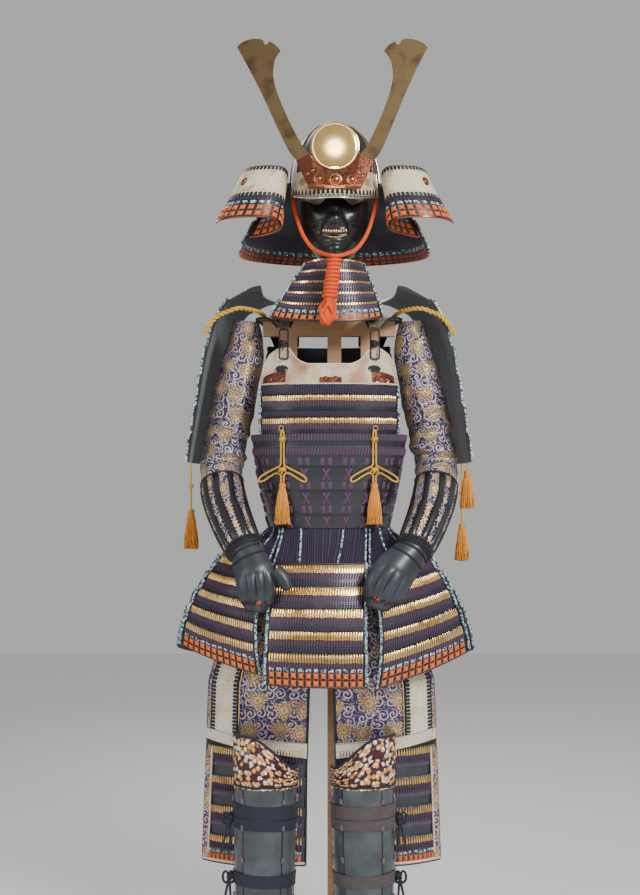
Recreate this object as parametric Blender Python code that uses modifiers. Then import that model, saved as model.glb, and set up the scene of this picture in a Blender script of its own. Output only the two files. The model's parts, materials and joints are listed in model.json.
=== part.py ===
"""A suit of samurai armour worn by its own wooden stand.

Metres, +Z up, the front faces -Y, the floor is Z = 0 and X = 0 is the middle of the cuirass.
Every cloth, leather or laced piece is a wall: an inner face worked out from a table of sizes, and an
outer face moved out from it, with the steps of the lames, the splints and the quilting raised in it.
"""

import math

import bmesh
import bpy
from mathutils import Vector

# Driving sizes, in metres

SEAM = 0.0003
CLOTH = 0.0025
PLATE = 0.003

HEAD_X = 0.0115
LEGS_X = -0.0165
SHINS_X = -0.0315

BOARD_TOP = 1.4065
BOARD_HEIGHT = 0.032
CUIRASS_FOOT = 0.962
CUIRASS_CHEST = 1.160
BREAST_FOOT = 1.262
BACK_TOP = 1.360
BOWL_RIM = 1.700
BOWL_HEIGHT = 0.131
CHIN = 1.5275
KNEE = 0.415
THIGH_TOP = 0.928

# Finishes: colour, roughness, metallic

FINISHES = {
    "black_lacquer": ((0.020, 0.021, 0.024), 0.35, 0.0),
    "purple_lacing": ((0.075, 0.055, 0.105), 0.80, 0.0),
    "printed_leather": ((0.74, 0.69, 0.55), 0.65, 0.0),
    "brocade": ((0.30, 0.21, 0.20), 0.50, 0.0),
    "copper": ((0.42, 0.17, 0.09), 0.40, 0.8),
    "brass": ((0.45, 0.34, 0.17), 0.40, 0.9),
    "gilt": ((0.80, 0.58, 0.22), 0.25, 1.0),
    "orange_cord": ((0.85, 0.17, 0.03), 0.75, 0.0),
    "gold_cord": ((0.80, 0.42, 0.08), 0.70, 0.0),
    "dark_cord": ((0.02, 0.02, 0.03), 0.80, 0.0),
    "stand_wood": ((0.52, 0.30, 0.15), 0.55, 0.0),
    "head_form": ((0.78, 0.74, 0.64), 0.80, 0.0),
}


def clear_scene():
    for old in list(bpy.data.objects):
        bpy.data.objects.remove(old, do_unlink=True)


def collection(name):
    made = bpy.data.collections.new(name)
    bpy.context.scene.collection.children.link(made)
    return made


clear_scene()
ARMOUR = collection("samurai_armour")
CUTTERS = collection("joining_shapes")


def finish(name):
    """The material of that name, made once."""
    found = bpy.data.materials.get(name)
    if found:
        return found
    colour, roughness, metallic = FINISHES[name]
    made = bpy.data.materials.new(name)
    made.use_nodes = True
    shader = made.node_tree.nodes["Principled BSDF"]
    shader.inputs["Base Color"].default_value = (*colour, 1)
    shader.inputs["Roughness"].default_value = roughness
    shader.inputs["Metallic"].default_value = metallic
    made.diffuse_color = (*colour, 1)
    return made


def add_object(name, mesh, finish_name, angle=40):
    made = bpy.data.objects.new(name, mesh)
    ARMOUR.objects.link(made)
    mesh.materials.append(finish(finish_name))
    mesh.shade_smooth()
    mesh.set_sharp_from_angle(angle=math.radians(angle))
    return made


# Tables and curves


def mix(a, b, t):
    return a + (b - a) * t


def ease(t):
    t = min(max(t, 0.0), 1.0)
    return t * t * (3 - 2 * t)


def along(rows, t):
    """The row at t, from 0 to 1, of a table whose rows are evenly spaced, on a smooth curve."""
    last = len(rows) - 1
    at = min(max(t, 0.0), 1.0) * last
    i = min(int(at), last - 1)
    f = at - i
    before, start, end, after = (rows[min(max(k, 0), last)] for k in (i - 1, i, i + 1, i + 2))
    read = {}
    for key in start:
        a, b, c, d = before[key], start[key], end[key], after[key]
        read[key] = b + 0.5 * f * (c - a + f * (2 * a - 5 * b + 4 * c - d + f * (3 * (b - c) + d - a)))
    return read


def at_height(rows, z):
    """The row at height z of a table that goes up or down in z, on straight lines."""
    rows = sorted(rows, key=lambda row: row["z"])
    z = min(max(z, rows[0]["z"]), rows[-1]["z"])
    for low, high in zip(rows, rows[1:]):
        if z <= high["z"]:
            t = (z - low["z"]) / (high["z"] - low["z"])
            return {key: mix(low[key], high[key], t) for key in low}
    return rows[-1]


# The wall that every worn piece is made of


def outward(surface, u, v, step=0.004):
    """The unit normal of a surface whose u runs to the viewer's right and v runs down."""
    u0, u1 = max(u - step, 0), min(u + step, 1)
    v0, v1 = max(v - step, 0), min(v + step, 1)
    run = surface(u1, v) - surface(u0, v)
    fall = surface(u, v1) - surface(u, v0)
    return fall.cross(run).normalized()


def plain_inside(bm, columns, levels, thin):
    """Take from the inner face the rows that a lame's step needs outside, and every other column."""
    rows = len(levels) - 1
    kept = [0]
    for row in range(1, rows):
        if levels[row][0] - levels[kept[-1]][0] > 0.021 or levels[row][0] - levels[row - 1][0] > 0.04:
            kept.append(row)
    spare = []
    for edge in bm.edges:
        low = edge.verts[0].co, edge.verts[1].co
        if low[0].z > 0.5 or low[1].z > 0.5:
            continue
        places = [(round((co.x + 0.5) * columns), round((0.5 - co.y) * rows)) for co in low]
        (column_a, row_a), (column_b, row_b) = places
        if row_a == row_b and 0 < row_a < rows and row_a not in kept:
            spare.append(edge)
        elif thin and column_a == column_b and 0 < column_a < columns and column_a % 2:
            spare.append(edge)
    bmesh.ops.dissolve_edges(bm, edges=spare, use_verts=True)


def wall(name, finish_name, surface, columns, levels, thick, relief=None, **options):
    """A closed wall on surface(u, v). levels are its rows, each a pair: v and how far it stands out.

    relief(column, row, u, v) is a further lift of the outer face. Of the options, closed joins the two
    ends, thin leaves every other column out of the plain inner face, and level_rims keeps the top and
    foot level, so that they meet the next piece along a seam.
    """
    closed = options.get("closed", False)
    thin = options.get("thin", True)
    level_rims = options.get("level_rims", False)
    rows = len(levels) - 1
    bm = bmesh.new()
    bmesh.ops.create_grid(bm, x_segments=columns, y_segments=rows, size=0.5)
    made = bmesh.ops.extrude_face_region(bm, geom=bm.faces[:], use_keep_orig=True)
    for vert in made["geom"]:
        if isinstance(vert, bmesh.types.BMVert):
            vert.co.z = 1
    if closed:
        ends = [f for f in bm.faces if all(abs(abs(v.co.x) - 0.5) < 1e-6 for v in f.verts)]
        bmesh.ops.delete(bm, geom=ends, context="FACES")
    else:
        plain_inside(bm, columns, levels, thin)
    for vert in bm.verts:
        u = vert.co.x + 0.5
        column, row = round(u * columns), round((0.5 - vert.co.y) * rows)
        v, lift = levels[row]
        point = surface(u, v)
        if vert.co.z > 0.5:
            extra = relief(column, row, u, v) if relief else 0
            normal = outward(surface, u, v)
            if closed and column in (0, columns):
                normal = (outward(surface, 0, v) + outward(surface, 1, v)).normalized()
            if level_rims and row in (0, rows):
                normal = Vector((normal.x, normal.y, 0)).normalized()
            point = point + normal * (thick + lift + extra)
        vert.co = point
    if closed:
        bmesh.ops.remove_doubles(bm, verts=bm.verts[:], dist=1e-6)
    bmesh.ops.triangulate(bm, faces=[face for face in bm.faces if len(face.verts) > 4])
    bmesh.ops.recalc_face_normals(bm, faces=bm.faces[:])
    mesh = bpy.data.meshes.new(name)
    bm.to_mesh(mesh)
    bm.free()
    return add_object(name, mesh, finish_name)


def plain_levels(count, top=0.0, bottom=1.0):
    return [(mix(top, bottom, k / count), 0.0) for k in range(count + 1)]


def lame_levels(top, bottom, count, proud=0.005, step=0.004):
    """Rows for laced lames: each lame's head stands proud and its foot tucks behind the next head."""
    rows = []
    for k in range(count):
        head, foot = mix(top, bottom, k / count), mix(top, bottom, (k + 1) / count)
        rows += [(head + step, proud), (foot - step, 0.0)]
    rows[0] = (top, proud)
    rows[-1] = (bottom, 0.0)
    return rows


def tube(name, finish_name, points, radius, cyclic=False):
    """A cord or rail: a curve with a round bevel, whose caps are filled."""
    curve = bpy.data.curves.new(name, "CURVE")
    curve.dimensions = "3D"
    curve.bevel_depth = radius
    curve.bevel_resolution = 2
    curve.use_fill_caps = not cyclic
    spline = curve.splines.new("POLY")
    spline.points.add(len(points) - 1)
    for point, place in zip(spline.points, points):
        point.co = (*place, 1)
    spline.use_cyclic_u = cyclic
    made = bpy.data.objects.new(name, curve)
    ARMOUR.objects.link(made)
    curve.materials.append(finish(finish_name))
    return made


def curve_points(corners, count):
    """Evenly read points of a smooth curve through the corners."""
    rows = [dict(zip("xyz", corner)) for corner in corners]
    read = [along(rows, k / (count - 1)) for k in range(count)]
    return [Vector((p["x"], p["y"], p["z"])) for p in read]


# Stand


def box(name, centre, size, group):
    bm = bmesh.new()
    bmesh.ops.create_cube(bm, size=1)
    bmesh.ops.scale(bm, vec=size, verts=bm.verts[:])
    bmesh.ops.translate(bm, vec=centre, verts=bm.verts[:])
    mesh = bpy.data.meshes.new(name)
    bm.to_mesh(mesh)
    bm.free()
    made = bpy.data.objects.new(name, mesh)
    group.objects.link(made)
    return made


BOARD_DEEP = 0.022
FORM_FOOT = 1.600
FORM_TOP = BOWL_RIM + BOWL_HEIGHT + 0.0022
FORM_HALF_WIDTH = 0.066
FORM_HALF_DEPTH = 0.080
BASE_HEIGHT = 0.024
BASE_FRONT, BASE_BACK = -0.030, 0.210
WAIST_BOARD = 0.948


def make_stand():
    """A wooden frame of boards on a post and a foot board, joined into one solid."""
    rail_z = BOARD_TOP - BOARD_HEIGHT / 2
    post_top = FORM_FOOT - SEAM
    frame = box("stand_frame", (0, 0, rail_z), (0.286, BOARD_DEEP, BOARD_HEIGHT), ARMOUR)
    frame.data.materials.append(finish("stand_wood"))
    upright_foot = WAIST_BOARD
    upright_size = (0.038, BOARD_DEEP - 0.002, rail_z - upright_foot)
    base_size = (0.340, BASE_BACK - BASE_FRONT, BASE_HEIGHT)
    shapes = {
        "post": ((HEAD_X, 0, post_top / 2 + 0.006), (0.030, BOARD_DEEP + 0.004, post_top - 0.012)),
        "upright_left": ((-0.088, 0, (rail_z + upright_foot) / 2), upright_size),
        "upright_right": ((0.088, 0, (rail_z + upright_foot) / 2), upright_size),
        "waist_board": ((0, 0, WAIST_BOARD), (0.214, BOARD_DEEP, BOARD_HEIGHT)),
        "foot_board": ((0, (BASE_FRONT + BASE_BACK) / 2, BASE_HEIGHT / 2), base_size),
    }
    for name, (centre, size) in shapes.items():
        shape = box("join_" + name, centre, size, CUTTERS)
        shape.hide_render = True
        shape.display_type = "WIRE"
        join = frame.modifiers.new(name, "BOOLEAN")
        join.operation = "UNION"
        join.object = shape


def make_head_form():
    """The pale block that carries the helmet and shows behind the mask's eyes."""
    middle = (FORM_TOP + FORM_FOOT - 0.012) / 2
    half = FORM_TOP - middle
    bm = bmesh.new()
    bmesh.ops.create_uvsphere(bm, u_segments=14, v_segments=9, radius=1)
    bmesh.ops.scale(bm, vec=(FORM_HALF_WIDTH, FORM_HALF_DEPTH, half), verts=bm.verts[:])
    bmesh.ops.translate(bm, vec=(HEAD_X, 0, middle), verts=bm.verts[:])
    for vert in bm.verts:
        vert.co.z = max(vert.co.z, FORM_FOOT)
    mesh = bpy.data.meshes.new("head_form")
    bm.to_mesh(mesh)
    bm.free()
    add_object("head_form", mesh, "head_form")


# Helmet

BOWL_HALF_WIDTH = 0.093
BOWL_HALF_DEPTH = 0.116
BOWL_RIBS = 16
CROWN_HOLE = 0.12


def bowl_point(u, v):
    """v runs from the crown's hole down to the rim, u once round from the back."""
    turn = 2 * math.pi * u + math.pi
    fall = mix(CROWN_HOLE, 1.0, v) * math.pi / 2
    spread = math.sin(fall) ** 0.94
    x = HEAD_X + BOWL_HALF_WIDTH * spread * math.sin(turn)
    y = -BOWL_HALF_DEPTH * spread * math.cos(turn)
    return Vector((x, y, BOWL_RIM + BOWL_HEIGHT * math.cos(fall)))


def make_bowl():
    rib = 0.0022
    wall(
        "helmet_bowl",
        "black_lacquer",
        bowl_point,
        2 * BOWL_RIBS,
        plain_levels(4),
        PLATE,
        relief=lambda column, row, u, v: rib * (column % 2),
        closed=True,
    )


def make_crown_ring():
    """The turned fitting that covers the hole in the crown."""
    seat = BOWL_RIM + BOWL_HEIGHT * math.cos(CROWN_HOLE * math.pi / 2) + PLATE + 0.0023
    profile = [(0.022, 0.0), (0.022, 0.002), (0.015, 0.0035), (0.006, 0.006)]
    curve = [(x, 0, seat + z) for x, z in reversed(profile)] + [(0.010, 0, seat)]
    bm = bmesh.new()
    verts = [bm.verts.new(point) for point in curve]
    for a, b in zip(verts, verts[1:]):
        bm.edges.new((a, b))
    bm.edges.new((verts[-1], verts[0]))
    mesh = bpy.data.meshes.new("crown_ring")
    bm.to_mesh(mesh)
    bm.free()
    made = bpy.data.objects.new("crown_ring", mesh)
    made.location = (HEAD_X, 0, 0)
    ARMOUR.objects.link(made)
    mesh.materials.append(finish("gilt"))
    screw = made.modifiers.new("turn", "SCREW")
    screw.steps = 12
    screw.render_steps = 12
    screw.merge_threshold = 0.0001
    screw.use_merge_vertices = True
    screw.use_normal_calculate = True


VISOR_TURN = math.radians(64)


def visor_point(u, v):
    turn = mix(-VISOR_TURN, VISOR_TURN, u)
    reach = ease((math.cos(turn) - math.cos(VISOR_TURN)) / (1 - math.cos(VISOR_TURN)))
    root = BOWL_RIM + 0.015
    x = (BOWL_HALF_WIDTH + 0.0047 + mix(0.000, 0.004, v)) * math.sin(turn)
    y = -(BOWL_HALF_DEPTH + 0.0047 + v * mix(0.002, 0.040, reach)) * math.cos(turn)
    return Vector((HEAD_X + x, y, root - v * mix(0.050, 0.0700, reach)))


def make_visor():
    wall("helmet_visor", "printed_leather", visor_point, 18, plain_levels(3), 0.0022)


CREST_HALF = 0.080
CREST_FOOT_HALF = 0.0535
CREST_FOOT = 1.6650
HORN_FOOT_X = 0.0530
HORN_FOOT_Z = 1.7380
CREST_CORNER_Z = 1.7235
CREST_FRONT = -0.1524
DISC_Z = 1.7545
DISC_RADIUS = 0.0500
CREST_BOW = 0.8


def crest_y(x):
    """How far back the crest's base lies at x from its middle: it bows round the visor."""
    return CREST_FRONT + CREST_BOW * x * x


def crest_point(u, v):
    across = abs(2 * u - 1)
    reach = CREST_HALF * across
    if reach < HORN_FOOT_X:
        top = min(DISC_Z - 0.048 * math.sqrt(1 - (reach / 0.0545) ** 2), HORN_FOOT_Z)
    else:
        top = mix(HORN_FOOT_Z, CREST_CORNER_Z, (reach - HORN_FOOT_X) / (CREST_HALF - HORN_FOOT_X))
    x = math.copysign(mix(reach, CREST_FOOT_HALF * across, v), 2 * u - 1)
    return Vector((HEAD_X + x, crest_y(x), mix(top, CREST_FOOT, v)))


def make_crest_base():
    wall("crest_base", "copper", crest_point, 20, plain_levels(2), 0.0025)


# Half outline of a horn: x out from the helmet's middle, z up
HORN_OUTLINE = [
    (0.0530, 1.7386),
    (0.0800, 1.7241),
    (0.0968, 1.7440),
    (0.1232, 1.8000),
    (0.1525, 1.8640),
    (0.1818, 1.9211),
    (0.1940, 1.9420),
    (0.2032, 1.9590),
    (0.1960, 1.9670),
    (0.1870, 1.9720),
    (0.1720, 1.9765),
    (0.1560, 1.9765),
    (0.1480, 1.9730),
    (0.1470, 1.9660),
    (0.1430, 1.9640),
    (0.1390, 1.9660),
    (0.1380, 1.9710),
    (0.1320, 1.9695),
    (0.1220, 1.9630),
    (0.1126, 1.9515),
    (0.1210, 1.9415),
    (0.1267, 1.9290),
    (0.1301, 1.9066),
    (0.1280, 1.8840),
    (0.1205, 1.8577),
    (0.0989, 1.8041),
    (0.0696, 1.7506),
]
HORN_THICK = 0.0025
HORN_LEAN = {-1: 0.0, 1: 0.052}


def make_horn(name, side):
    """A flat brass horn: its outline filled and given thickness, standing on the crest's end."""
    curve = bpy.data.curves.new(name, "CURVE")
    curve.dimensions = "2D"
    curve.fill_mode = "BOTH"
    curve.extrude = HORN_THICK / 2
    spline = curve.splines.new("POLY")
    spline.points.add(len(HORN_OUTLINE) - 1)
    for point, (x, z) in zip(spline.points, HORN_OUTLINE):
        point.co = (side * (x - HORN_LEAN[side] * (z - HORN_FOOT_Z)), z, 0, 1)
    spline.use_cyclic_u = True
    flat = bpy.data.objects.new(name, curve)
    seat = crest_y(sum(x for x, z in HORN_OUTLINE[:2]) / 2)
    flat.location = (HEAD_X, seat - 0.00125, 0)
    flat.rotation_euler = (math.pi / 2, 0, 0)
    ARMOUR.objects.link(flat)
    curve.materials.append(finish("brass"))


def make_disc():
    """The gilt disc, slightly domed, with the flat stem that stands behind the crest's base."""
    disc = 0.0020
    back = crest_y(DISC_RADIUS) + SEAM
    bm = bmesh.new()
    made = bmesh.ops.create_cone(
        bm, cap_ends=True, segments=32, radius1=DISC_RADIUS, radius2=DISC_RADIUS - 0.001, depth=disc
    )
    for vert in made["verts"]:
        x, y, z = vert.co
        vert.co = (HEAD_X + x, back + disc / 2 - z, DISC_Z + y)
    low = [f for f in bm.faces if len(f.verts) == 4 and f.calc_center_median().z < DISC_Z - 0.0490]
    moved = bmesh.ops.extrude_face_region(bm, geom=low)
    stem = [v for v in moved["geom"] if isinstance(v, bmesh.types.BMVert)]
    bmesh.ops.translate(bm, vec=(0, crest_y(0) - crest_y(DISC_RADIUS), -0.020), verts=stem)
    bmesh.ops.delete(bm, geom=low, context="FACES")
    bmesh.ops.recalc_face_normals(bm, faces=bm.faces[:])
    mesh = bpy.data.meshes.new("crest_disc")
    bm.to_mesh(mesh)
    bm.free()
    add_object("crest_disc", mesh, "gilt")


NECK_GUARD_OPEN = math.radians(78)
NECK_GUARD = [
    {"z": BOWL_RIM - SEAM, "half_width": 0.0935, "depth": 0.1165},
    {"z": 1.6650, "half_width": 0.132, "depth": 0.141},
    {"z": 1.6320, "half_width": 0.159, "depth": 0.159},
    {"z": 1.5940, "half_width": 0.184, "depth": 0.177},
    {"z": 1.5500, "half_width": 0.204, "depth": 0.193},
]


def neck_guard_point(u, v):
    turn = mix(NECK_GUARD_OPEN, 2 * math.pi - NECK_GUARD_OPEN, u)
    row = along(NECK_GUARD, v)
    lift = 0.006 * v * ease(-math.cos(turn))
    x = HEAD_X + row["half_width"] * math.sin(turn)
    return Vector((x, -row["depth"] * math.cos(turn), row["z"] + lift))


def make_neck_guard():
    levels = lame_levels(0, 1, 5, proud=0.004)
    levels[0] = (0.0, 0.0)
    wall("neck_guard", "purple_lacing", neck_guard_point, 18, levels, PLATE, level_rims=True)


# Plan of the right turnback, from the neck guard's front edge to its outer end: x from the head's middle
TURNBACK_PLAN = [
    {"x": 0.1330, "y": -0.0400},
    {"x": 0.1170, "y": -0.0640},
    {"x": 0.1020, "y": -0.0880},
    {"x": 0.1020, "y": -0.1060},
    {"x": 0.1170, "y": -0.1200},
    {"x": 0.1420, "y": -0.1240},
    {"x": 0.1680, "y": -0.1150},
    {"x": 0.1840, "y": -0.0930},
    {"x": 0.1930, "y": -0.0660},
]
# The edges of the two turned lames: height at the root and at the outer end, and how far it leans out
TURNBACK_EDGES = {
    "brow": {"root": 1.6880, "outer": 1.7190, "lean": 0.000},
    "upper_foot": {"root": 1.6325, "outer": 1.6545, "lean": 0.033},
    "lower_head": {"root": 1.6319, "outer": 1.6539, "lean": 0.033},
    "lower_foot": {"root": 1.5855, "outer": 1.6095, "lean": 0.058},
}
TURNBACKS = {"upper": ("brow", "upper_foot"), "lower": ("lower_head", "lower_foot")}


def neck_guard_edge(z):
    """The front edge of the neck guard at that height: x from the head's middle, and y."""
    row = at_height(NECK_GUARD, z)
    return row["half_width"] * math.sin(NECK_GUARD_OPEN), -row["depth"] * math.cos(NECK_GUARD_OPEN)


def turnback_surface(side, edges):
    top, foot = (TURNBACK_EDGES[edge] for edge in edges)

    def point(u, v):
        t = 1 - u if side < 0 else u
        row = along(TURNBACK_PLAN, t)
        grow = ease((t - 0.05) / 0.45)
        edge = [mix(edge["root"], edge["outer"], grow) for edge in (top, foot)]
        z = mix(edge[0], edge[1], v)
        flare = mix(top["lean"], foot["lean"], v)
        x = row["x"] + flare * mix(0.16, 1.0, ease((t - 0.1) / 0.9))
        y = row["y"] - flare * 0.30 * math.sin(math.pi * t)
        root_x, root_y = neck_guard_edge(z)
        free = ease(t / 0.22)
        return Vector((HEAD_X + side * mix(root_x, x, free), mix(root_y - 3 * SEAM, y, free), z))

    return point


def make_turnbacks():
    for level, edges in TURNBACKS.items():
        kind = "printed_leather" if level == "upper" else "orange_cord"
        for side, label in ((-1, "left"), (1, "right")):
            name = f"turnback_{level}_{label}"
            surface = turnback_surface(side, edges)
            wall(name, kind, surface, 14, plain_levels(2), 0.0022, thin=False, level_rims=True)


# Face mask, throat guard and chin cord

MASK = [
    {"z": 1.6640, "half_width": 0.0700, "front": 0.1000, "side": 0.040},
    {"z": 1.6420, "half_width": 0.0690, "front": 0.1080, "side": 0.038},
    {"z": 1.6200, "half_width": 0.0670, "front": 0.1140, "side": 0.036},
    {"z": 1.5980, "half_width": 0.0620, "front": 0.1180, "side": 0.038},
    {"z": 1.5760, "half_width": 0.0550, "front": 0.1200, "side": 0.044},
    {"z": 1.5500, "half_width": 0.0430, "front": 0.1190, "side": 0.056},
    {"z": CHIN, "half_width": 0.0270, "front": 0.1130, "side": 0.076},
]
MASK_TURN = math.radians(88)
INNER_SHARE = 0.8
# Raised forms of a plain mask: x and z of the middle, how wide and tall, how far it stands out
MASK_FORMS = [
    {"x": 0.000, "z": 1.638, "wide": 0.0105, "tall": 0.024, "out": 0.010},
    {"x": 0.000, "z": 1.608, "wide": 0.0120, "tall": 0.012, "out": 0.015},
    {"x": 0.013, "z": 1.603, "wide": 0.0070, "tall": 0.008, "out": 0.005},
    {"x": 0.042, "z": 1.622, "wide": 0.0170, "tall": 0.013, "out": 0.008},
    {"x": 0.022, "z": 1.596, "wide": 0.0080, "tall": 0.012, "out": 0.003},
    {"x": 0.000, "z": 1.581, "wide": 0.0200, "tall": 0.0060, "out": -0.005},
    {"x": 0.000, "z": 1.568, "wide": 0.0170, "tall": 0.005, "out": 0.003},
    {"x": 0.000, "z": 1.546, "wide": 0.0160, "tall": 0.010, "out": 0.007},
]


def mask_relief(x, z):
    lift = 0.0
    for form in MASK_FORMS:
        for side in (-1, 1) if form["x"] else (1,):
            a = (x - side * form["x"]) / form["wide"]
            b = (z - form["z"]) / form["tall"]
            lift += form["out"] * math.exp(-(a * a + b * b))
    return lift


def mask_point(u, v):
    across = 2 * u - 1
    turn = MASK_TURN * math.copysign(abs(across) ** 1.4, across)
    row = along(MASK, v)
    s = abs(math.sin(turn))
    brow = 0.008 * math.exp(-((s / 0.16) ** 2)) - 0.017 * math.exp(-(((s - 0.52) / 0.26) ** 2)) - 0.006
    z = row["z"] + brow * (1 - v) ** 2
    x = row["half_width"] * math.sin(turn)
    y = -(row["side"] + (row["front"] - row["side"]) * math.cos(turn) ** 1.1)
    y -= mask_relief(x, z) * INNER_SHARE
    return Vector((HEAD_X + x, y, z))


def mask_outer(column, row, u, v):
    place = mask_point(u, v)
    return max(0, mask_relief(place.x - HEAD_X, place.z)) * (1 - INNER_SHARE)


def make_mask():
    options = {"thin": False, "level_rims": True}
    wall("face_mask", "black_lacquer", mask_point, 16, plain_levels(11), 0.0020, mask_outer, **options)


THROAT_FOOT = 1.390


def throat_point(u, v):
    across = 2 * u - 1
    half = mix(0.056, 0.118, v ** 0.9)
    front = mix(0.1118, 0.148, v)
    turn = across * math.radians(72)
    y = -front + (1 - math.cos(turn)) * mix(0.060, 0.068, v)
    x = mix(HEAD_X, -0.006, v) + half * math.sin(turn) / math.sin(math.radians(72))
    top = CHIN - SEAM - 0.006 * across * across
    return Vector((x, y, mix(top, THROAT_FOOT + 0.016 * across * across, v)))


def make_throat_guard():
    levels = lame_levels(0, 1, 5, proud=0.003)
    levels[0] = (0.0, 0.0)
    wall("throat_guard", "purple_lacing", throat_point, 12, levels, CLOTH, level_rims=True)


CHIN_CORD_RADIUS = 0.0042
# Right half of the chin cord, from inside the helmet's rim to under the chin: x from the head's middle
CHIN_CORD = [
    (0.0860, -0.0150, 1.7060),
    (0.0885, -0.0380, 1.6740),
    (0.0870, -0.0600, 1.6480),
    (0.0810, -0.0700, 1.6220),
    (0.0730, -0.0800, 1.5960),
    (0.0630, -0.0930, 1.5730),
    (0.0460, -0.1120, 1.5480),
    (0.0240, -0.1440, 1.5320),
    (0.0062, -0.1680, 1.5245),
]
KNOT_TOP = 1.5203
KNOT_FOOT = 1.379
KNOT_RADIUS = 0.0145
KNOT_Y = -0.1673
KNOT_LEAN = 0.14


def make_chin_cord():
    right = [(HEAD_X + x, y, z) for x, y, z in CHIN_CORD]
    left = [(HEAD_X - x, y, z) for x, y, z in reversed(CHIN_CORD)]
    tube("chin_cord", "orange_cord", curve_points(right + left, 24), CHIN_CORD_RADIUS)
    wraps = 5
    profile = []
    for k in range(2 * wraps + 1):
        t = k / (2 * wraps)
        z = mix(-0.004, -0.084, t)
        profile.append((KNOT_RADIUS * (0.90 + 0.10 * (k % 2)) * mix(0.92, 1.05, t), z))
    profile += [(0.0115, -0.090), (0.0165, -0.102), (0.0190, -0.115), (0.0170, -0.129), (0.0090, -0.138)]
    bm = bmesh.new()
    points = [(0, 0), *profile, (0, KNOT_FOOT - KNOT_TOP)]
    verts = [bm.verts.new((r, 0, z)) for r, z in points]
    for a, b in zip(verts, verts[1:]):
        bm.edges.new((a, b))
    mesh = bpy.data.meshes.new("chin_knot")
    bm.to_mesh(mesh)
    bm.free()
    made = bpy.data.objects.new("chin_knot", mesh)
    made.location = (HEAD_X, KNOT_Y, KNOT_TOP)
    made.rotation_euler = (0, KNOT_LEAN, 0)
    ARMOUR.objects.link(made)
    mesh.materials.append(finish("orange_cord"))
    screw = made.modifiers.new("turn", "SCREW")
    screw.steps = 9
    screw.render_steps = 9
    screw.use_merge_vertices = True
    screw.merge_threshold = 0.0001
    screw.use_normal_calculate = True


# Cuirass

TORSO = [
    {"z": 0.962, "half_width": 0.128, "front": 0.118, "back": 0.110},
    {"z": 1.060, "half_width": 0.150, "front": 0.126, "back": 0.120},
    {"z": 1.160, "half_width": 0.166, "front": 0.130, "back": 0.128},
    {"z": 1.262, "half_width": 0.164, "front": 0.122, "back": 0.128},
    {"z": 1.360, "half_width": 0.150, "front": 0.106, "back": 0.114},
]
TORSO_SQUARE = 0.82
CHEST_TURN = math.radians(57)


def torso_point(turn, z):
    """The cuirass's inner face: turn 0 is its front, a quarter turn the viewer's right."""
    row = at_height(TORSO, z)
    s, c = math.sin(turn), math.cos(turn)
    x = row["half_width"] * math.copysign(abs(s) ** TORSO_SQUARE, s)
    y = -row["front" if c > 0 else "back"] * math.copysign(abs(c) ** TORSO_SQUARE, c)
    return Vector((x, y, z))


def torso_surface(start, end, top, foot):
    return lambda u, v: torso_point(mix(start, end, u), mix(top, foot, v))


# Steps of the lower cuirass, from its top: v and how far the lame stands out
HOOP_LEVELS = [
    (0.000, 0.000),
    (0.130, 0.000),
    (0.138, 0.0024),
    (0.340, 0.0018),
    (0.348, 0.0004),
    (0.592, 0.0020),
    (0.600, 0.0004),
    (0.846, 0.0020),
    (0.854, 0.0004),
    (1.000, 0.0016),
]


def make_cuirass():
    quarter = math.pi / 2
    gap = 0.0025
    front = torso_surface(-quarter + gap, quarter - gap, CUIRASS_CHEST, CUIRASS_FOOT)
    wall("cuirass_front", "black_lacquer", front, 16, HOOP_LEVELS, PLATE, thin=False, level_rims=True)
    back = torso_surface(quarter + gap, 3 * quarter - gap, CUIRASS_CHEST, CUIRASS_FOOT)
    wall("cuirass_back", "black_lacquer", back, 14, HOOP_LEVELS, PLATE, thin=False, level_rims=True)
    chest = torso_surface(-CHEST_TURN, CHEST_TURN, BREAST_FOOT - SEAM, CUIRASS_CHEST + SEAM)
    chest_levels = [(0.0, 0.0), (0.08, 0.0), (0.09, 0.004), (0.57, 0.0005), (0.58, 0.0045), (1.0, 0.0)]
    wall("cuirass_chest", "purple_lacing", chest, 12, chest_levels, PLATE, level_rims=True)
    behind = torso_surface(math.pi - CHEST_TURN, math.pi + CHEST_TURN, BACK_TOP, CUIRASS_CHEST + SEAM)
    back_levels = [(0.0, 0.0), (0.22, 0.0), (0.23, 0.004), (0.60, 0.0005), (0.61, 0.0045), (1.0, 0.0)]
    wall("cuirass_shoulder_back", "purple_lacing", behind, 12, back_levels, PLATE, level_rims=True)


# Top edge of the breast plate, from its middle outwards: share of half width and height
BREAST_EDGE = [
    {"share": 0.00, "top": 1.3065},
    {"share": 0.22, "top": 1.3065},
    {"share": 0.31, "top": 1.3123},
    {"share": 0.38, "top": 1.3200},
    {"share": 0.45, "top": 1.3335},
    {"share": 0.51, "top": 1.3430},
    {"share": 0.69, "top": 1.3410},
    {"share": 0.85, "top": 1.3297},
    {"share": 0.96, "top": 1.3084},
    {"share": 1.00, "top": 1.2850},
]


def breast_top(share):
    for low, high in zip(BREAST_EDGE, BREAST_EDGE[1:]):
        if share <= high["share"]:
            return mix(low["top"], high["top"], (share - low["share"]) / (high["share"] - low["share"]))
    return BREAST_EDGE[-1]["top"]


def breast_point(u, v):
    turn = mix(-CHEST_TURN, CHEST_TURN, u)
    share = abs(2 * u - 1)
    return torso_point(turn, mix(breast_top(share), BREAST_FOOT, v))


def make_breast_plate():
    wall("breast_plate", "printed_leather", breast_point, 26, plain_levels(2), 0.0045, level_rims=True)


STRAP_X = 0.096
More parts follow.
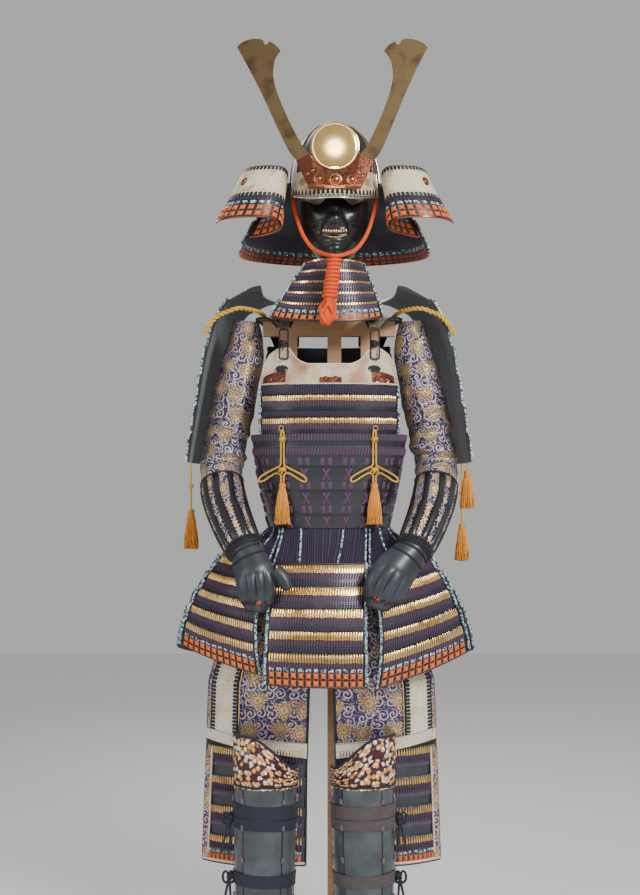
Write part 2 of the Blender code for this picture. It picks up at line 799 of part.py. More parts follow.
# A shoulder strap, from the back over the stand's board to the chest: x is out from the middle
STRAP = [
    {"x": 0.0940, "y": 0.0950, "z": 1.3604, "half": 0.026},
    {"x": 0.1000, "y": 0.0900, "z": 1.3860, "half": 0.032},
    {"x": 0.1100, "y": 0.0620, "z": 1.4050, "half": 0.038},
    {"x": 0.1160, "y": 0.0000, "z": 1.4074, "half": 0.043},
    {"x": 0.1120, "y": -0.0420, "z": 1.4070, "half": 0.038},
    {"x": 0.1020, "y": -0.0760, "z": 1.4020, "half": 0.027},
    {"x": 0.0960, "y": -0.0960, "z": 1.3820, "half": 0.013},
]
TOGGLE_Y = {"top": -0.0985, "foot": -0.1077}
TOGGLE_TOP = 1.3798
TOGGLE_FOOT = 1.3170


def make_straps():
    for side, label in ((-1, "left"), (1, "right")):

        def point(u, v, side=side):
            row = along(STRAP, v)
            return Vector((side * row["x"] + (2 * u - 1) * row["half"], row["y"], row["z"]))

        wall(f"shoulder_strap_{label}", "brocade", point, 3, plain_levels(9), 0.005, thin=False)
        half, corner = 0.009, 0.004
        loop = []
        for cx, cz, start in (
            (half - corner, TOGGLE_TOP - corner, 0),
            (corner - half, TOGGLE_TOP - corner, 90),
            (corner - half, TOGGLE_FOOT + corner, 180),
            (half - corner, TOGGLE_FOOT + corner, 270),
        ):
            for degrees in (start, start + 90):
                a = math.radians(degrees)
                x = side * STRAP_X + cx + corner * math.cos(a)
                z = cz + corner * math.sin(a)
                low = (TOGGLE_TOP - z) / (TOGGLE_TOP - TOGGLE_FOOT)
                loop.append((x, mix(TOGGLE_Y["top"], TOGGLE_Y["foot"], low), z))
        tube(f"toggle_loop_{label}", "dark_cord", loop, 0.0016, cyclic=True)


# Chest cords and tassels

CHEST_RING_Z = 1.168
CHEST_CORD_RADIUS = 0.0019
TASSEL_TOP = 1.0576
CHEST_CORD_OFF = 0.0081
CHEST_CORD_REACH = 0.118
# Half of a chest cord, from the tassel up to the ring: x from the cord's middle, z, how far further out
CHEST_CORD_HALF = [
    (0.0030, 1.0580, 0.0065),
    (0.0034, 1.0720, 0.0040),
    (0.0120, 1.0770, 0.0010),
    (0.0260, 1.0700, 0.0005),
    (0.0400, 1.0610, 0.0000),
    (0.0480, 1.0590, 0.0000),
    (0.0500, 1.0640, 0.0000),
    (0.0440, 1.0710, 0.0000),
    (0.0290, 1.0800, 0.0005),
    (0.0130, 1.0880, 0.0010),
    (0.0042, 1.0940, 0.0010),
    (0.0034, 1.1060, 0.0005),
    (0.0030, 1.1300, 0.0000),
    (0.0030, 1.1550, 0.0000),
    (0.0022, 1.1640, 0.0000),
]


def cuirass_y(x, z):
    """The y of the cuirass's inner face at x and z, in front."""
    row = at_height(TORSO, z)
    power = 2 / TORSO_SQUARE
    return -row["front"] * (1 - (abs(x) / row["half_width"]) ** power) ** (1 / power)


def chest_cord_points(x0):
    halves = CHEST_CORD_HALF + [(0.0, 1.1665, 0.0)]
    left = [(x0 - x, z, out) for x, z, out in halves]
    right = [(x0 + x, z, out) for x, z, out in reversed(CHEST_CORD_HALF)]
    corners = []
    for x, z, out in left + right:
        corners.append((x, cuirass_y(min(abs(x), CHEST_CORD_REACH), z) - CHEST_CORD_OFF - out, z))
    return curve_points(corners, 28)


def tassel(name, x, y, top, foot, head=0.008, spread=0.020, cord_top=None, segments=5):
    """A head whose underside is cut into locks, which hang apart, and the cord that carries it."""
    head_height = 0.014
    bm = bmesh.new()
    bmesh.ops.create_cone(
        bm, cap_ends=True, segments=segments, radius1=head, radius2=head * 0.72, depth=head_height
    )
    bmesh.ops.translate(bm, vec=(0, 0, top - head_height / 2), verts=bm.verts[:])
    bm.faces.ensure_lookup_table()
    caps = sorted((f for f in bm.faces if len(f.verts) == segments), key=lambda f: f.calc_center_median().z)
    under, over = caps
    if cord_top:
        bmesh.ops.inset_region(bm, faces=[over], thickness=head * 0.72 - 0.0022)
        moved = bmesh.ops.extrude_face_region(bm, geom=[over])
        rise = [v for v in moved["geom"] if isinstance(v, bmesh.types.BMVert)]
        bmesh.ops.translate(bm, vec=(0, 0, cord_top - top), verts=rise)
        bmesh.ops.delete(bm, geom=[over], context="FACES_ONLY")
    ring = bmesh.ops.inset_region(bm, faces=[under], thickness=head * 0.48)["faces"]
    core = bmesh.ops.poke(bm, faces=[under])["faces"]
    locks = list(ring) + list(core)
    bmesh.ops.inset_individual(bm, faces=locks, thickness=0.0004)
    drop = top - head_height - foot
    for share, step in ((0.30, 0.30), (1.0, 0.70)):
        locks = bmesh.ops.extrude_discrete_faces(bm, faces=locks)["faces"]
        for number, lock in enumerate(locks):
            middle = lock.calc_center_median()
            out = Vector((middle.x, middle.y, 0))
            far = out.length / head
            ragged = 0.004 * math.sin(2.4 * number + 1) if share == 1.0 else 0
            push = out.normalized() * (spread - head) * far * step if far > 1e-6 else Vector()
            for vert in lock.verts:
                vert.co += push + Vector((0, 0, -drop * step + ragged))
    bmesh.ops.translate(bm, vec=(x, y, 0), verts=bm.verts[:])
    bmesh.ops.recalc_face_normals(bm, faces=bm.faces[:])
    mesh = bpy.data.meshes.new(name)
    bm.to_mesh(mesh)
    bm.free()
    add_object(name, mesh, "gold_cord")


SODE_FOOT = 1.100
TASSEL_HANGS = SODE_FOOT - SEAM


def make_chest_cords():
    for x, label in ((-0.0985, "left"), (0.0945, "right")):
        points = chest_cord_points(x)
        tube(f"chest_cord_{label}", "gold_cord", points, CHEST_CORD_RADIUS)
        tassel(f"chest_tassel_{label}", x, points[0].y, TASSEL_TOP, 0.972)


def make_side_tassels():
    tassel("side_tassel_left", -0.3015, 0.0200, 1.000, 0.914, cord_top=TASSEL_HANGS)
    tassel("side_tassel_right_long", 0.2985, 0.0980, 0.968, 0.884, cord_top=TASSEL_HANGS)
    tassel("side_tassel_right_short", 0.3015, 0.0100, 1.085, 1.003, cord_top=TASSEL_HANGS)


# Sleeves and hand guards

# The middle line of the right sleeve, shoulder to wrist, and its two half widths
SLEEVE = [
    {"x": 0.1800, "y": 0.0080, "z": 1.4062, "wide": 0.0250, "deep": 0.0400},
    {"x": 0.1830, "y": 0.0100, "z": 1.3450, "wide": 0.0390, "deep": 0.0500},
    {"x": 0.1990, "y": 0.0140, "z": 1.2760, "wide": 0.0435, "deep": 0.0540},
    {"x": 0.2140, "y": 0.0160, "z": 1.2050, "wide": 0.0450, "deep": 0.0540},
    {"x": 0.2270, "y": 0.0140, "z": 1.1400, "wide": 0.0440, "deep": 0.0500},
    {"x": 0.2340, "y": 0.0020, "z": 1.0820, "wide": 0.0425, "deep": 0.0460},
    {"x": 0.2240, "y": -0.0400, "z": 1.0240, "wide": 0.0410, "deep": 0.0420},
    {"x": 0.2010, "y": -0.0930, "z": 0.9680, "wide": 0.0385, "deep": 0.0380},
    {"x": 0.1740, "y": -0.1380, "z": 0.9150, "wide": 0.0340, "deep": 0.0310},
]
# Folds of the sleeve, where the elbow gathers it: where, how long and how far out
SLEEVE_FOLDS = [
    {"at": 0.34, "long": 0.018, "out": 0.0030, "lean": 0.020},
    {"at": 0.46, "long": 0.016, "out": 0.0045, "lean": -0.025},
    {"at": 0.53, "long": 0.014, "out": 0.0055, "lean": 0.020},
    {"at": 0.60, "long": 0.014, "out": 0.0045, "lean": -0.015},
]


def sleeve_frame(side, t):
    row, ahead, behind = (along(SLEEVE, k) for k in (t, min(t + 0.02, 1), max(t - 0.02, 0)))
    run = Vector([ahead[key] - behind[key] for key in "xyz"])
    run.x *= side
    run.normalize()
    centre = Vector((side * row["x"], row["y"], row["z"]))
    deep = Vector((0, -1, 0))
    deep = (deep - run * deep.dot(run)).normalized()
    wide = run.cross(deep).normalized()
    if wide.x < 0:
        wide = -wide
    return centre, wide * row["wide"], deep * row["deep"]


def sleeve_surface(side, out=0.0, start=0.0, end=1.0, turn_from=-math.pi, turn_to=math.pi):
    """Turn 0 of the sleeve is its front and a quarter turn the viewer's right."""

    def point(u, v):
        t = mix(start, end, v)
        turn = mix(turn_from, turn_to, u)
        centre, wide, deep = sleeve_frame(side, t)
        across = wide * math.sin(turn) + deep * math.cos(turn)
        push = out
        for fold in SLEEVE_FOLDS:
            shift = (t - fold["at"] - fold["lean"] * math.sin(turn)) / fold["long"]
            push += fold["out"] * math.exp(-shift * shift) * (0.6 + 0.4 * math.cos(turn + side))
        return centre + across * (1 + push / across.length)

    return point


SLEEVE_ROWS = 16
GUARD_ROWS = 5
SPLINTS = 4


def splint_relief(column, row, u, v):
    return 0.0022 if column % 4 in (1, 2) else 0.0


def make_sleeves():
    for side, label in ((-1, "left"), (1, "right")):
        levels = plain_levels(SLEEVE_ROWS)
        wall(f"sleeve_{label}", "brocade", sleeve_surface(side), 11, levels, CLOTH, closed=True)
        middle = side * math.radians(28)
        half = math.radians(118)
        start = 1 - GUARD_ROWS / SLEEVE_ROWS
        guard = sleeve_surface(side, CLOTH + 0.0010, start, 1.0, middle - half, middle + half)
        columns = 4 * SPLINTS - 1
        rows = plain_levels(GUARD_ROWS)
        name = f"forearm_guard_{label}"
        wall(name, "black_lacquer", guard, columns, rows, 0.0012, splint_relief, thin=False)


# Hand guards below the wrist: the middle line, and the half width across it
HANDS = {
    "left": {
        "side": -1,
        "wrist_gap": 0.0013,
        "line": [
            {"x": -0.1650, "y": -0.1600, "z": 0.9100, "half": 0.0370},
            {"x": -0.1560, "y": -0.1720, "z": 0.8800, "half": 0.0385},
            {"x": -0.1510, "y": -0.1760, "z": 0.8500, "half": 0.0385},
            {"x": -0.1500, "y": -0.1760, "z": 0.8200, "half": 0.0340},
            {"x": -0.1520, "y": -0.1720, "z": 0.7930, "half": 0.0170},
        ],
        "thumb": [(-0.1120, -0.1866, 0.8780), (-0.0980, -0.1906, 0.8640), (-0.0840, -0.1920, 0.8400)],
    },
    "right": {
        "side": 1,
        "wrist_gap": 0.0024,
        "line": [
            {"x": 0.1620, "y": -0.1600, "z": 0.9100, "half": 0.0370},
            {"x": 0.1400, "y": -0.1720, "z": 0.8820, "half": 0.0410},
            {"x": 0.1200, "y": -0.1760, "z": 0.8540, "half": 0.0420},
            {"x": 0.1060, "y": -0.1760, "z": 0.8250, "half": 0.0370},
            {"x": 0.0990, "y": -0.1720, "z": 0.7980, "half": 0.0180},
        ],
    },
}
HAND_TURN = math.radians(78)
WRIST_SHARE = 0.30


def line_frame(line, v):
    """The point of a middle line at v, and the direction across it as the viewer sees it."""
    row, ahead, behind = (along(line, k) for k in (v, min(v + 0.05, 1), max(v - 0.05, 0)))
    run = Vector([ahead[key] - behind[key] for key in "xyz"]).normalized()
    across = Vector((0, -1, 0)).cross(run).normalized()
    return Vector((row["x"], row["y"], row["z"])), across if across.x > 0 else -across, row


def hand_surface(hand):
    """The wrist's edge follows the end of the sleeve, and the rest is a domed plate."""
    side = hand["side"]
    middle = side * math.radians(20)
    cuff = sleeve_surface(side, turn_from=middle - HAND_TURN, turn_to=middle + HAND_TURN)
    run = (cuff(0.5, 1.0) - cuff(0.5, 0.97)).normalized()

    def point(u, v):
        s = 2 * u - 1
        place, across, row = line_frame(hand["line"], v)
        plate = place + across * s * row["half"] + Vector((0, -0.018 * (1 - s * s), 0))
        return mix(cuff(u, 1.0) + run * hand["wrist_gap"], plate, ease(v / WRIST_SHARE))

    return point


def knuckle_relief(column, row, u, v):
    """Four fingers stand out along the guard's middle."""
    fingers = 0.5 - 0.5 * math.cos(2 * math.pi * 4 * u)
    return 0.0035 * fingers * math.sin(math.pi * min(max((v - 0.28) / 0.52, 0), 1))


def thumb_surface(hand):
    line = [dict(zip("xyz", corner)) for corner in hand["thumb"]]

    def point(u, v):
        place, across, row = line_frame(line, v)
        s = 2 * u - 1
        half = 0.0125 * math.sqrt(max(1 - max(0, (v - 0.6) / 0.42) ** 2, 0.06))
        return place + across * s * half + Vector((0, -0.007 * (1 - s * s), 0))

    return point


def make_hand_guards():
    for label, hand in HANDS.items():
        name = f"hand_guard_{label}"
        wall(name, "black_lacquer", hand_surface(hand), 16, plain_levels(7), 0.0025, knuckle_relief)
        if "thumb" in hand:
            wall("thumb_guard", "black_lacquer", thumb_surface(hand), 6, plain_levels(5), 0.0020)


# Shoulder guards

# Side view of the right shoulder guard from its top plate down: x and z of its inner face
SODE = [
    {"x": 0.1450, "z": 1.4700},
    {"x": 0.1980, "z": 1.4540},
    {"x": 0.2300, "z": 1.4200},
    {"x": 0.2480, "z": 1.3760},
    {"x": 0.2620, "z": 1.3250},
    {"x": 0.2720, "z": 1.2700},
    {"x": 0.2820, "z": 1.2100},
    {"x": 0.2910, "z": 1.1560},
    {"x": 0.3000, "z": SODE_FOOT},
]
SODE_FRONT, SODE_BACK = -0.075, 0.195


def sode_surface(side):
    def point(u, v):
        back = u if side > 0 else 1 - u
        row = along(SODE, v)
        y = mix(SODE_FRONT, SODE_BACK, back)
        curl = 1.30 * max(0, y - 0.05) ** 2 + 0.8 * max(0, -0.03 - y) ** 2
        return Vector((side * (row["x"] - curl), y, row["z"]))

    return point


def make_shoulder_guards():
    for side, label in ((-1, "left"), (1, "right")):
        levels = [(0.0, 0.0)] + lame_levels(0.17, 1.0, 6, proud=0.0045)
        levels.insert(1, (0.09, 0.0))
        levels.insert(2, (0.166, 0.0))
        wall(f"shoulder_guard_{label}", "purple_lacing", sode_surface(side), 6, levels, PLATE)
        y = SODE_FRONT - 0.0059
        corners = [
            (side * 0.1400, -0.0100, 1.4182),
            (side * 0.1560, -0.0450, 1.4246),
            (side * 0.1900, y + 0.002, 1.4270),
            (side * 0.2170, y, 1.4190),
            (side * 0.2360, y, 1.4100),
            (side * 0.2530, y, 1.3920),
            (side * 0.2660, y, 1.3700),
        ]
        tube(f"shoulder_cord_{label}", "gold_cord", curve_points(corners, 9), 0.0052)


# Skirt panels

# Corners of each panel's inner face below its laces: left and right as seen from outside, top and foot,
# and the turns of the cuirass's foot between which its laces hang
SKIRT = {
    "front": {
        "top": ((-0.1180, -0.1180, 0.8860), (0.0780, -0.1190, 0.8860)),
        "foot": ((-0.1330, -0.1830, 0.6420), (0.0770, -0.1830, 0.6350)),
        "bow": 0.020,
        "turns": (-46, 33),
    },
    "front_left": {
        "top": ((-0.2240, -0.0560, 0.9020), (-0.1240, -0.1140, 0.8900)),
        "foot": ((-0.3190, -0.0400, 0.7120), (-0.1390, -0.1620, 0.6580)),
        "bow": 0.014,
        "turns": (-86, -48),
    },
    "front_right": {
        "top": ((0.0800, -0.1140, 0.8820), (0.2040, -0.0500, 0.9060)),
        "foot": ((0.0930, -0.1640, 0.6300), (0.3000, -0.0400, 0.6960)),
        "bow": 0.014,
        "turns": (35, 86),
    },
    "side_left": {
        "top": ((-0.1980, 0.0860, 0.8960), (-0.2280, -0.0460, 0.9000)),
        "foot": ((-0.2700, 0.1420, 0.6680), (-0.3240, -0.0250, 0.7020)),
        "bow": 0.010,
        "turns": (-134, -88),
    },
    "side_right": {
        "top": ((0.2100, -0.0400, 0.9000), (0.1900, 0.0860, 0.8960)),
        "foot": ((0.3080, -0.0250, 0.6960), (0.2700, 0.1420, 0.6680)),
        "bow": 0.010,
        "turns": (88, 134),
    },
    "back_left": {
        "top": ((-0.0060, 0.1360, 0.8880), (-0.1900, 0.0980, 0.8940)),
        "foot": ((-0.0060, 0.2120, 0.6400), (-0.2520, 0.1640, 0.6600)),
        "bow": 0.016,
        "turns": (-179, -136),
    },
    "back_right": {
        "top": ((0.1820, 0.0980, 0.8940), (0.0020, 0.1360, 0.8880)),
        "foot": ((0.2520, 0.1640, 0.6600), (0.0020, 0.2120, 0.6400)),
        "bow": 0.016,
        "turns": (136, 179),
    },
}
LACES_SHARE = 0.24
SKIRT_LAMES = 5


def skirt_surface(panel):
    top, foot = ([Vector(corner) for corner in panel[edge]] for edge in ("top", "foot"))
    middle = (foot[0] + foot[1]) / 2
    out = Vector((middle.x, middle.y, 0)).normalized()
    turns = [math.radians(degrees) for degrees in panel["turns"]]

    def body(u, t):
        flat = mix(mix(top[0], top[1], u), mix(foot[0], foot[1], u), t)
        return flat + out * panel["bow"] * (1 - (2 * u - 1) ** 2) + out * 0.018 * math.sin(math.pi * t)

    def point(u, v):
        if v > LACES_SHARE:
            return body(u, (v - LACES_SHARE) / (1 - LACES_SHARE))
        t = v / LACES_SHARE
        hung = torso_point(mix(*sorted(turns), u), CUIRASS_FOOT)
        hung.z -= SEAM
        low = body(u, 0)
        sway = t * t * (2 - t)
        return Vector((mix(hung.x, low.x, sway), mix(hung.y, low.y, sway), mix(hung.z, low.z, t)))

    return point


def make_skirt():
    for name, panel in SKIRT.items():
        levels = plain_levels(3, 0.0, LACES_SHARE - 0.006)
        levels += lame_levels(LACES_SHARE, 1.0, SKIRT_LAMES, proud=0.0045)
        wall(f"skirt_{name}", "purple_lacing", skirt_surface(panel), 6, levels, CLOTH, level_rims=True)


# Thigh guards

THIGH = [
    {"z": 0.928, "inner": 0.006, "outer": 0.106, "front": -0.078, "sweep": 0.050},
    {"z": 0.800, "inner": 0.012, "outer": 0.190, "front": -0.092, "sweep": 0.080},
    {"z": 0.630, "inner": 0.026, "outer": 0.240, "front": -0.100, "sweep": 0.090},
    {"z": 0.560, "inner": 0.028, "outer": 0.244, "front": -0.078, "sweep": 0.085},
    {"z": 0.500, "inner": 0.030, "outer": 0.247, "front": -0.048, "sweep": 0.070},
    {"z": 0.440, "inner": 0.032, "outer": 0.250, "front": -0.038, "sweep": 0.060},
    {"z": 0.232, "inner": 0.034, "outer": 0.258, "front": -0.036, "sweep": 0.060},
]
THIGH_FOOT = 0.232
LAMELLAE_TOP = 0.490


def thigh_surface(side):
    def point(u, v):
        w = u if side > 0 else 1 - u
        z = mix(THIGH_TOP, THIGH_FOOT, v)
        row = at_height(THIGH, z)
        x = mix(row["inner"], row["outer"], w)
        y = row["front"] + row["sweep"] * max(0, (w - 0.42) / 0.58) ** 2 + 0.020 * max(0, 0.22 - w)
        return Vector((LEGS_X + side * x, y, z))

    return point


def make_thigh_guards():
    start = (THIGH_TOP - LAMELLAE_TOP) / (THIGH_TOP - THIGH_FOOT)
    for side, label in ((-1, "left"), (1, "right")):
        levels = plain_levels(6, 0.0, start - 0.01)
        levels += lame_levels(start, 1.0, 4, proud=0.004)
        wall(f"thigh_guard_{label}", "brocade", thigh_surface(side), 8, levels, CLOTH, level_rims=True)

    def belt(u, v):
        turn = mix(-math.pi / 2, math.pi / 2, u)
        y = -0.0113 - 0.0667 * max(math.cos(turn), 0) ** 0.6
        x = 0.1066 * math.sin(turn) + LEGS_X * 0.5 * math.cos(turn)
        return Vector((x, y, mix(0.956, THIGH_TOP + SEAM, v)))

    wall("waist_belt", "dark_cord", belt, 16, plain_levels(1), 0.003, level_rims=True)


# Shin guards and knee flaps

SHIN = [
    {"z": 0.000, "half_width": 0.050, "deep": 0.046, "x": 0.1090},
    {"z": 0.100, "half_width": 0.054, "deep": 0.049, "x": 0.1080},
    {"z": 0.250, "half_width": 0.062, "deep": 0.055, "x": 0.1060},
    {"z": 0.415, "half_width": 0.0635, "deep": 0.056, "x": 0.1035},
    {"z": 0.530, "half_width": 0.0645, "deep": 0.058, "x": 0.1035},
]
SHIN_Y = -0.0552
SHIN_TURN = math.radians(103)


def shin_point(side, turn, z):
    row = at_height(SHIN, z)
    x = SHINS_X + side * row["x"] + row["half_width"] * math.sin(turn)
    return Vector((x, SHIN_Y - row["deep"] * math.cos(turn), z))


def shin_relief(column, row, u, v):
    """The middle plate lies over the two side plates."""
    return 0.0018 if 5 <= column <= 9 else 0.0


def knee_top(w):
    """Top edge of a knee flap: low at the inner leg, rising in a wave to the outer side."""
    return mix(0.452, 0.522, ease((w - 0.12) / 0.55))


def quilt_relief(column, row, u, v):
    """Hexagonal padding: every other point stands out, and the edges stay thin."""
    inside = 0 < column < 14 and 0 < row < 7
    return 0.0040 if inside and (column + row) % 2 == 0 else 0.0


def make_shins():
    for side, label in ((-1, "left"), (1, "right")):

        def plates(u, v, side=side):
            return shin_point(side, mix(-SHIN_TURN, SHIN_TURN, u), mix(KNEE - SEAM, 0.0, v))

        def flap(u, v, side=side):
            w = u if side > 0 else 1 - u
            turn = mix(-SHIN_TURN, SHIN_TURN, u) * 0.86
            return shin_point(side, turn, mix(knee_top(w), KNEE, v))

        guard, knee = f"shin_guard_{label}", f"knee_flap_{label}"
        wall(guard, "black_lacquer", plates, 14, plain_levels(4), PLATE, shin_relief, level_rims=True)
        wall(knee, "brocade", flap, 14, plain_levels(7), CLOTH, quilt_relief, level_rims=True)


def main():
    make_stand()
    make_head_form()
    make_bowl()
    make_crown_ring()
    make_visor()
    make_crest_base()
    make_horn("crest_horn_left", -1)
    make_horn("crest_horn_right", 1)
    make_disc()
    make_neck_guard()
    make_turnbacks()
    make_mask()
    make_throat_guard()
    make_chin_cord()
    make_cuirass()
    make_breast_plate()
    make_straps()
    make_chest_cords()
    make_side_tassels()
    make_sleeves()
    make_hand_guards()
    make_shoulder_guards()
    make_skirt()
    make_thigh_guards()
    make_shins()


main()
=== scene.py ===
# %% [markdown]
# # A suit of samurai armour on its stand
# A suit like this is hundreds of small lacquered scales, laced into rows with silk cord and hung on
# brocade cloth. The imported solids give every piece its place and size. This lesson lays the visible
# work on those places: scale heads, laces, knots, quilting, printed leather and brocade.

import json
import math

import bpy
import numpy as np
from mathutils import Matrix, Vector


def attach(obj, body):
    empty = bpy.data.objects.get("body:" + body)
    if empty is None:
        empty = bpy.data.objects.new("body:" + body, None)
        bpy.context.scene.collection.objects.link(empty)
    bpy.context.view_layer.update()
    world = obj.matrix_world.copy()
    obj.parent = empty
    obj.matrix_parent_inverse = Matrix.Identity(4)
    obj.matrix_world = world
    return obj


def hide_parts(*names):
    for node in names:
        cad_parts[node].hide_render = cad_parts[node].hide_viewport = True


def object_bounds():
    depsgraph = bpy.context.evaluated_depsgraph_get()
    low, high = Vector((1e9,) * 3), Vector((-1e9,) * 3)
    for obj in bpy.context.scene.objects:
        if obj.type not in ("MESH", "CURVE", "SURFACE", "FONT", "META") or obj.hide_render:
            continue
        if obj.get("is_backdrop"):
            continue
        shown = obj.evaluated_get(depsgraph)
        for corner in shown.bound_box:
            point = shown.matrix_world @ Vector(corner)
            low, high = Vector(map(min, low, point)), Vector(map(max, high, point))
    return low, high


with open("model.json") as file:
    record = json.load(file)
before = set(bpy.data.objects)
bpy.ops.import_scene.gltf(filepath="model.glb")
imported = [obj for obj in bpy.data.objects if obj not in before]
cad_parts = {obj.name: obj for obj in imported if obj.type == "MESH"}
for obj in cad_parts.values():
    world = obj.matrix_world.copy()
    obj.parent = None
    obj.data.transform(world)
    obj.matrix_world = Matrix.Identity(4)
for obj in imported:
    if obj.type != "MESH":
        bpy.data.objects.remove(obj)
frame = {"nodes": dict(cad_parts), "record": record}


def box_now():
    """The corners of the whole model's box, as plain lists of metres."""
    return [[float(value) for value in corner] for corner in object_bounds()]


CAD_BOX = box_now()
print("solids:", len(frame["nodes"]), "box:", CAD_BOX)

# %% [markdown]
# ## Camera first
# The photograph is 640 by 895 pixels. A long lens stands 3.2 m away at hip height and looks straight
# ahead, so upright lines stay upright, and a small vertical shift frames the feet and the horns.

# %% Camera
PHOTO_WIDTH = 640
FOCAL_PIXELS = 1472
camera_data = bpy.data.cameras.new("camera")
camera_data.sensor_fit = "HORIZONTAL"
camera_data.sensor_width = 36
camera_data.lens = 36 * FOCAL_PIXELS / PHOTO_WIDTH
camera_data.shift_y = 38.5 / PHOTO_WIDTH
camera = bpy.data.objects.new("camera", camera_data)
camera.location = (-0.0196, -3.2, 1.05)
camera.rotation_euler = (math.pi / 2, 0, 0)
bpy.context.scene.collection.objects.link(camera)
bpy.context.scene.camera = camera

# %% [markdown]
# ## Tables and smooth curves
# Each surface is a small table of sizes, the same one that shaped the solid. A smooth curve reads
# between its rows.

# %% Reading a table
SIDES = ((-1, "left"), (1, "right"))
SEAM = 0.0003
CLOTH = 0.0025
PLATE = 0.003
HEAD_X = 0.0115
LEGS_X = -0.0165
SHINS_X = -0.0315


def mix(a, b, t):
    return a + (b - a) * t


def ease(t):
    t = min(max(t, 0.0), 1.0)
    return t * t * (3 - 2 * t)


def along(rows, t):
    """The row at t, from 0 to 1, of a table whose rows are evenly spaced, on a smooth curve."""
    last = len(rows) - 1
    at = min(max(t, 0.0), 1.0) * last
    i = min(int(at), last - 1)
    f = at - i
    before, start, end, after = (rows[min(max(k, 0), last)] for k in (i - 1, i, i + 1, i + 2))
    read = {}
    for key in start:
        a, b, c, d = before[key], start[key], end[key], after[key]
        read[key] = b + 0.5 * f * (c - a + f * (2 * a - 5 * b + 4 * c - d + f * (3 * (b - c) + d - a)))
    return read


def at_height(rows, z):
    """The row at height z of a table, on straight lines."""
    rows = sorted(rows, key=lambda row: row["z"])
    z = min(max(z, rows[0]["z"]), rows[-1]["z"])
    for low, high in zip(rows, rows[1:]):
        if z <= high["z"]:
            t = (z - low["z"]) / (high["z"] - low["z"])
            return {key: mix(low[key], high[key], t) for key in low}
    return rows[-1]


def table(columns, *rows):
    return [dict(zip(columns.split(), row)) for row in rows]


def smooth_path(corners, count):
    """Evenly read points of a smooth curve through the corners."""
    rows = [dict(zip("xyz", corner)) for corner in corners]
    read = [along(rows, k / (count - 1)) for k in range(count)]
    return np.array([(p["x"], p["y"], p["z"]) for p in read])


# %% [markdown]
# ## A skin to work on
# Thousands of small pieces lie on curved lames. A skin reads one surface once on a grid, with its
# outward normal, and then finds any number of points at once. u runs to the right and v runs down, as
# seen from outside, and h is how far a point stands out.


# %% The skin
class Skin:
    def __init__(self, surface, across=48, down=64):
        rows = [[surface(i / across, j / down) for i in range(across + 1)] for j in range(down + 1)]
        self.grid = np.array(rows, float)
        run = np.gradient(self.grid, axis=1)
        fall = np.gradient(self.grid, axis=0)
        normal = np.cross(fall, run)
        self.normal = normal / np.maximum(np.linalg.norm(normal, axis=2, keepdims=True), 1e-12)
        steps = np.linalg.norm(np.diff(self.grid[down // 2], axis=0), axis=1)
        self.reach = np.concatenate([[0], np.cumsum(steps)])
        self.width = self.reach[-1]
        self.length = np.linalg.norm(np.diff(self.grid[:, across // 2], axis=0), axis=1).sum()

    def even(self, count, start=0.0, end=1.0):
        """count + 1 values of u that part the skin's middle row into equal widths."""
        shares = np.linspace(start, end, count + 1)
        return np.interp(shares, self.reach / self.width, np.linspace(0, 1, len(self.reach)))

    def read(self, field, u, v):
        rows, columns = field.shape[:2]
        x = np.clip(u, 0, 1) * (columns - 1)
        y = np.clip(v, 0, 1) * (rows - 1)
        i = np.minimum(x.astype(int), columns - 2)
        j = np.minimum(y.astype(int), rows - 2)
        x, y = (x - i)[..., None], (y - j)[..., None]
        top = field[j, i] * (1 - x) + field[j, i + 1] * x
        foot = field[j + 1, i] * (1 - x) + field[j + 1, i + 1] * x
        return top * (1 - y) + foot * y

    def at(self, u, v, h=0.0):
        u, v, h = np.broadcast_arrays(np.asarray(u, float), v, h)
        normal = self.read(self.normal, u, v)
        normal /= np.maximum(np.linalg.norm(normal, axis=-1, keepdims=True), 1e-12)
        return self.read(self.grid, u, v) + normal * h[..., None]

    def across(self, v, h, count, inset):
        """Points of a line across the skin at v, which stops short of both sides."""
        return self.at(np.linspace(inset, 1 - inset, count), v, h)

    def down(self, u, h, count, inset):
        """Points of a line down the skin at u, which stops short of the top and the foot."""
        return self.at(u, np.linspace(inset, 1 - inset, count), h)

    def out_of(self, u, v, h):
        """A place on the skin, and the direction straight out of it."""
        place = self.at(u, v, h)
        return place, self.at(u, v, h + 0.01) - place

    def around(self, u, v, wide, tall):
        """A cell that reaches so many metres to each side, and above and below, of u and v."""
        half_u, half_v = wide / self.width, tall / self.length
        return u - half_u, u + half_u, v - half_v, v + half_v

    def hem(self, inset, down, count, corner, foot, foot_count, h):
        """Points down the left edge, along the foot and up the right edge."""
        v = np.linspace(*down, count)
        u = np.repeat([inset, 1 - inset], count)
        along_foot = np.linspace(corner, 1 - corner, foot_count)
        u = np.concatenate([u[:count], along_foot, u[count:]])
        return self.at(u, np.concatenate([v, np.full(foot_count, foot), v[::-1]]), h)

    def share(self, u):
        """How far along the middle row u is, in metres."""
        return np.interp(u, np.linspace(0, 1, len(self.reach)), self.reach)


# %% [markdown]
# ## A piece collects its parts
# Points and faces are gathered as arrays, each with its finish and its place on the flat cut in metres.
# At the end they become one mesh, which rides on the suit's one body and stands for its solid.


# %% The piece
def grid_faces(rows, columns):
    """Four-cornered faces of a grid of points, wound so that they face outwards."""
    r, c = np.meshgrid(np.arange(rows - 1), np.arange(columns - 1), indexing="ij")
    a = (r * columns + c).ravel()
    return np.stack([a, a + columns, a + columns + 1, a + 1], axis=1)


def band(a, b):
    """Faces between two lines of point numbers."""
    return np.stack([a[:-1], a[1:], b[1:], b[:-1]], axis=1)


MADE = []
SLOTS = {row["node"]: row["material_slot"] for row in frame["record"]["subparts"]}


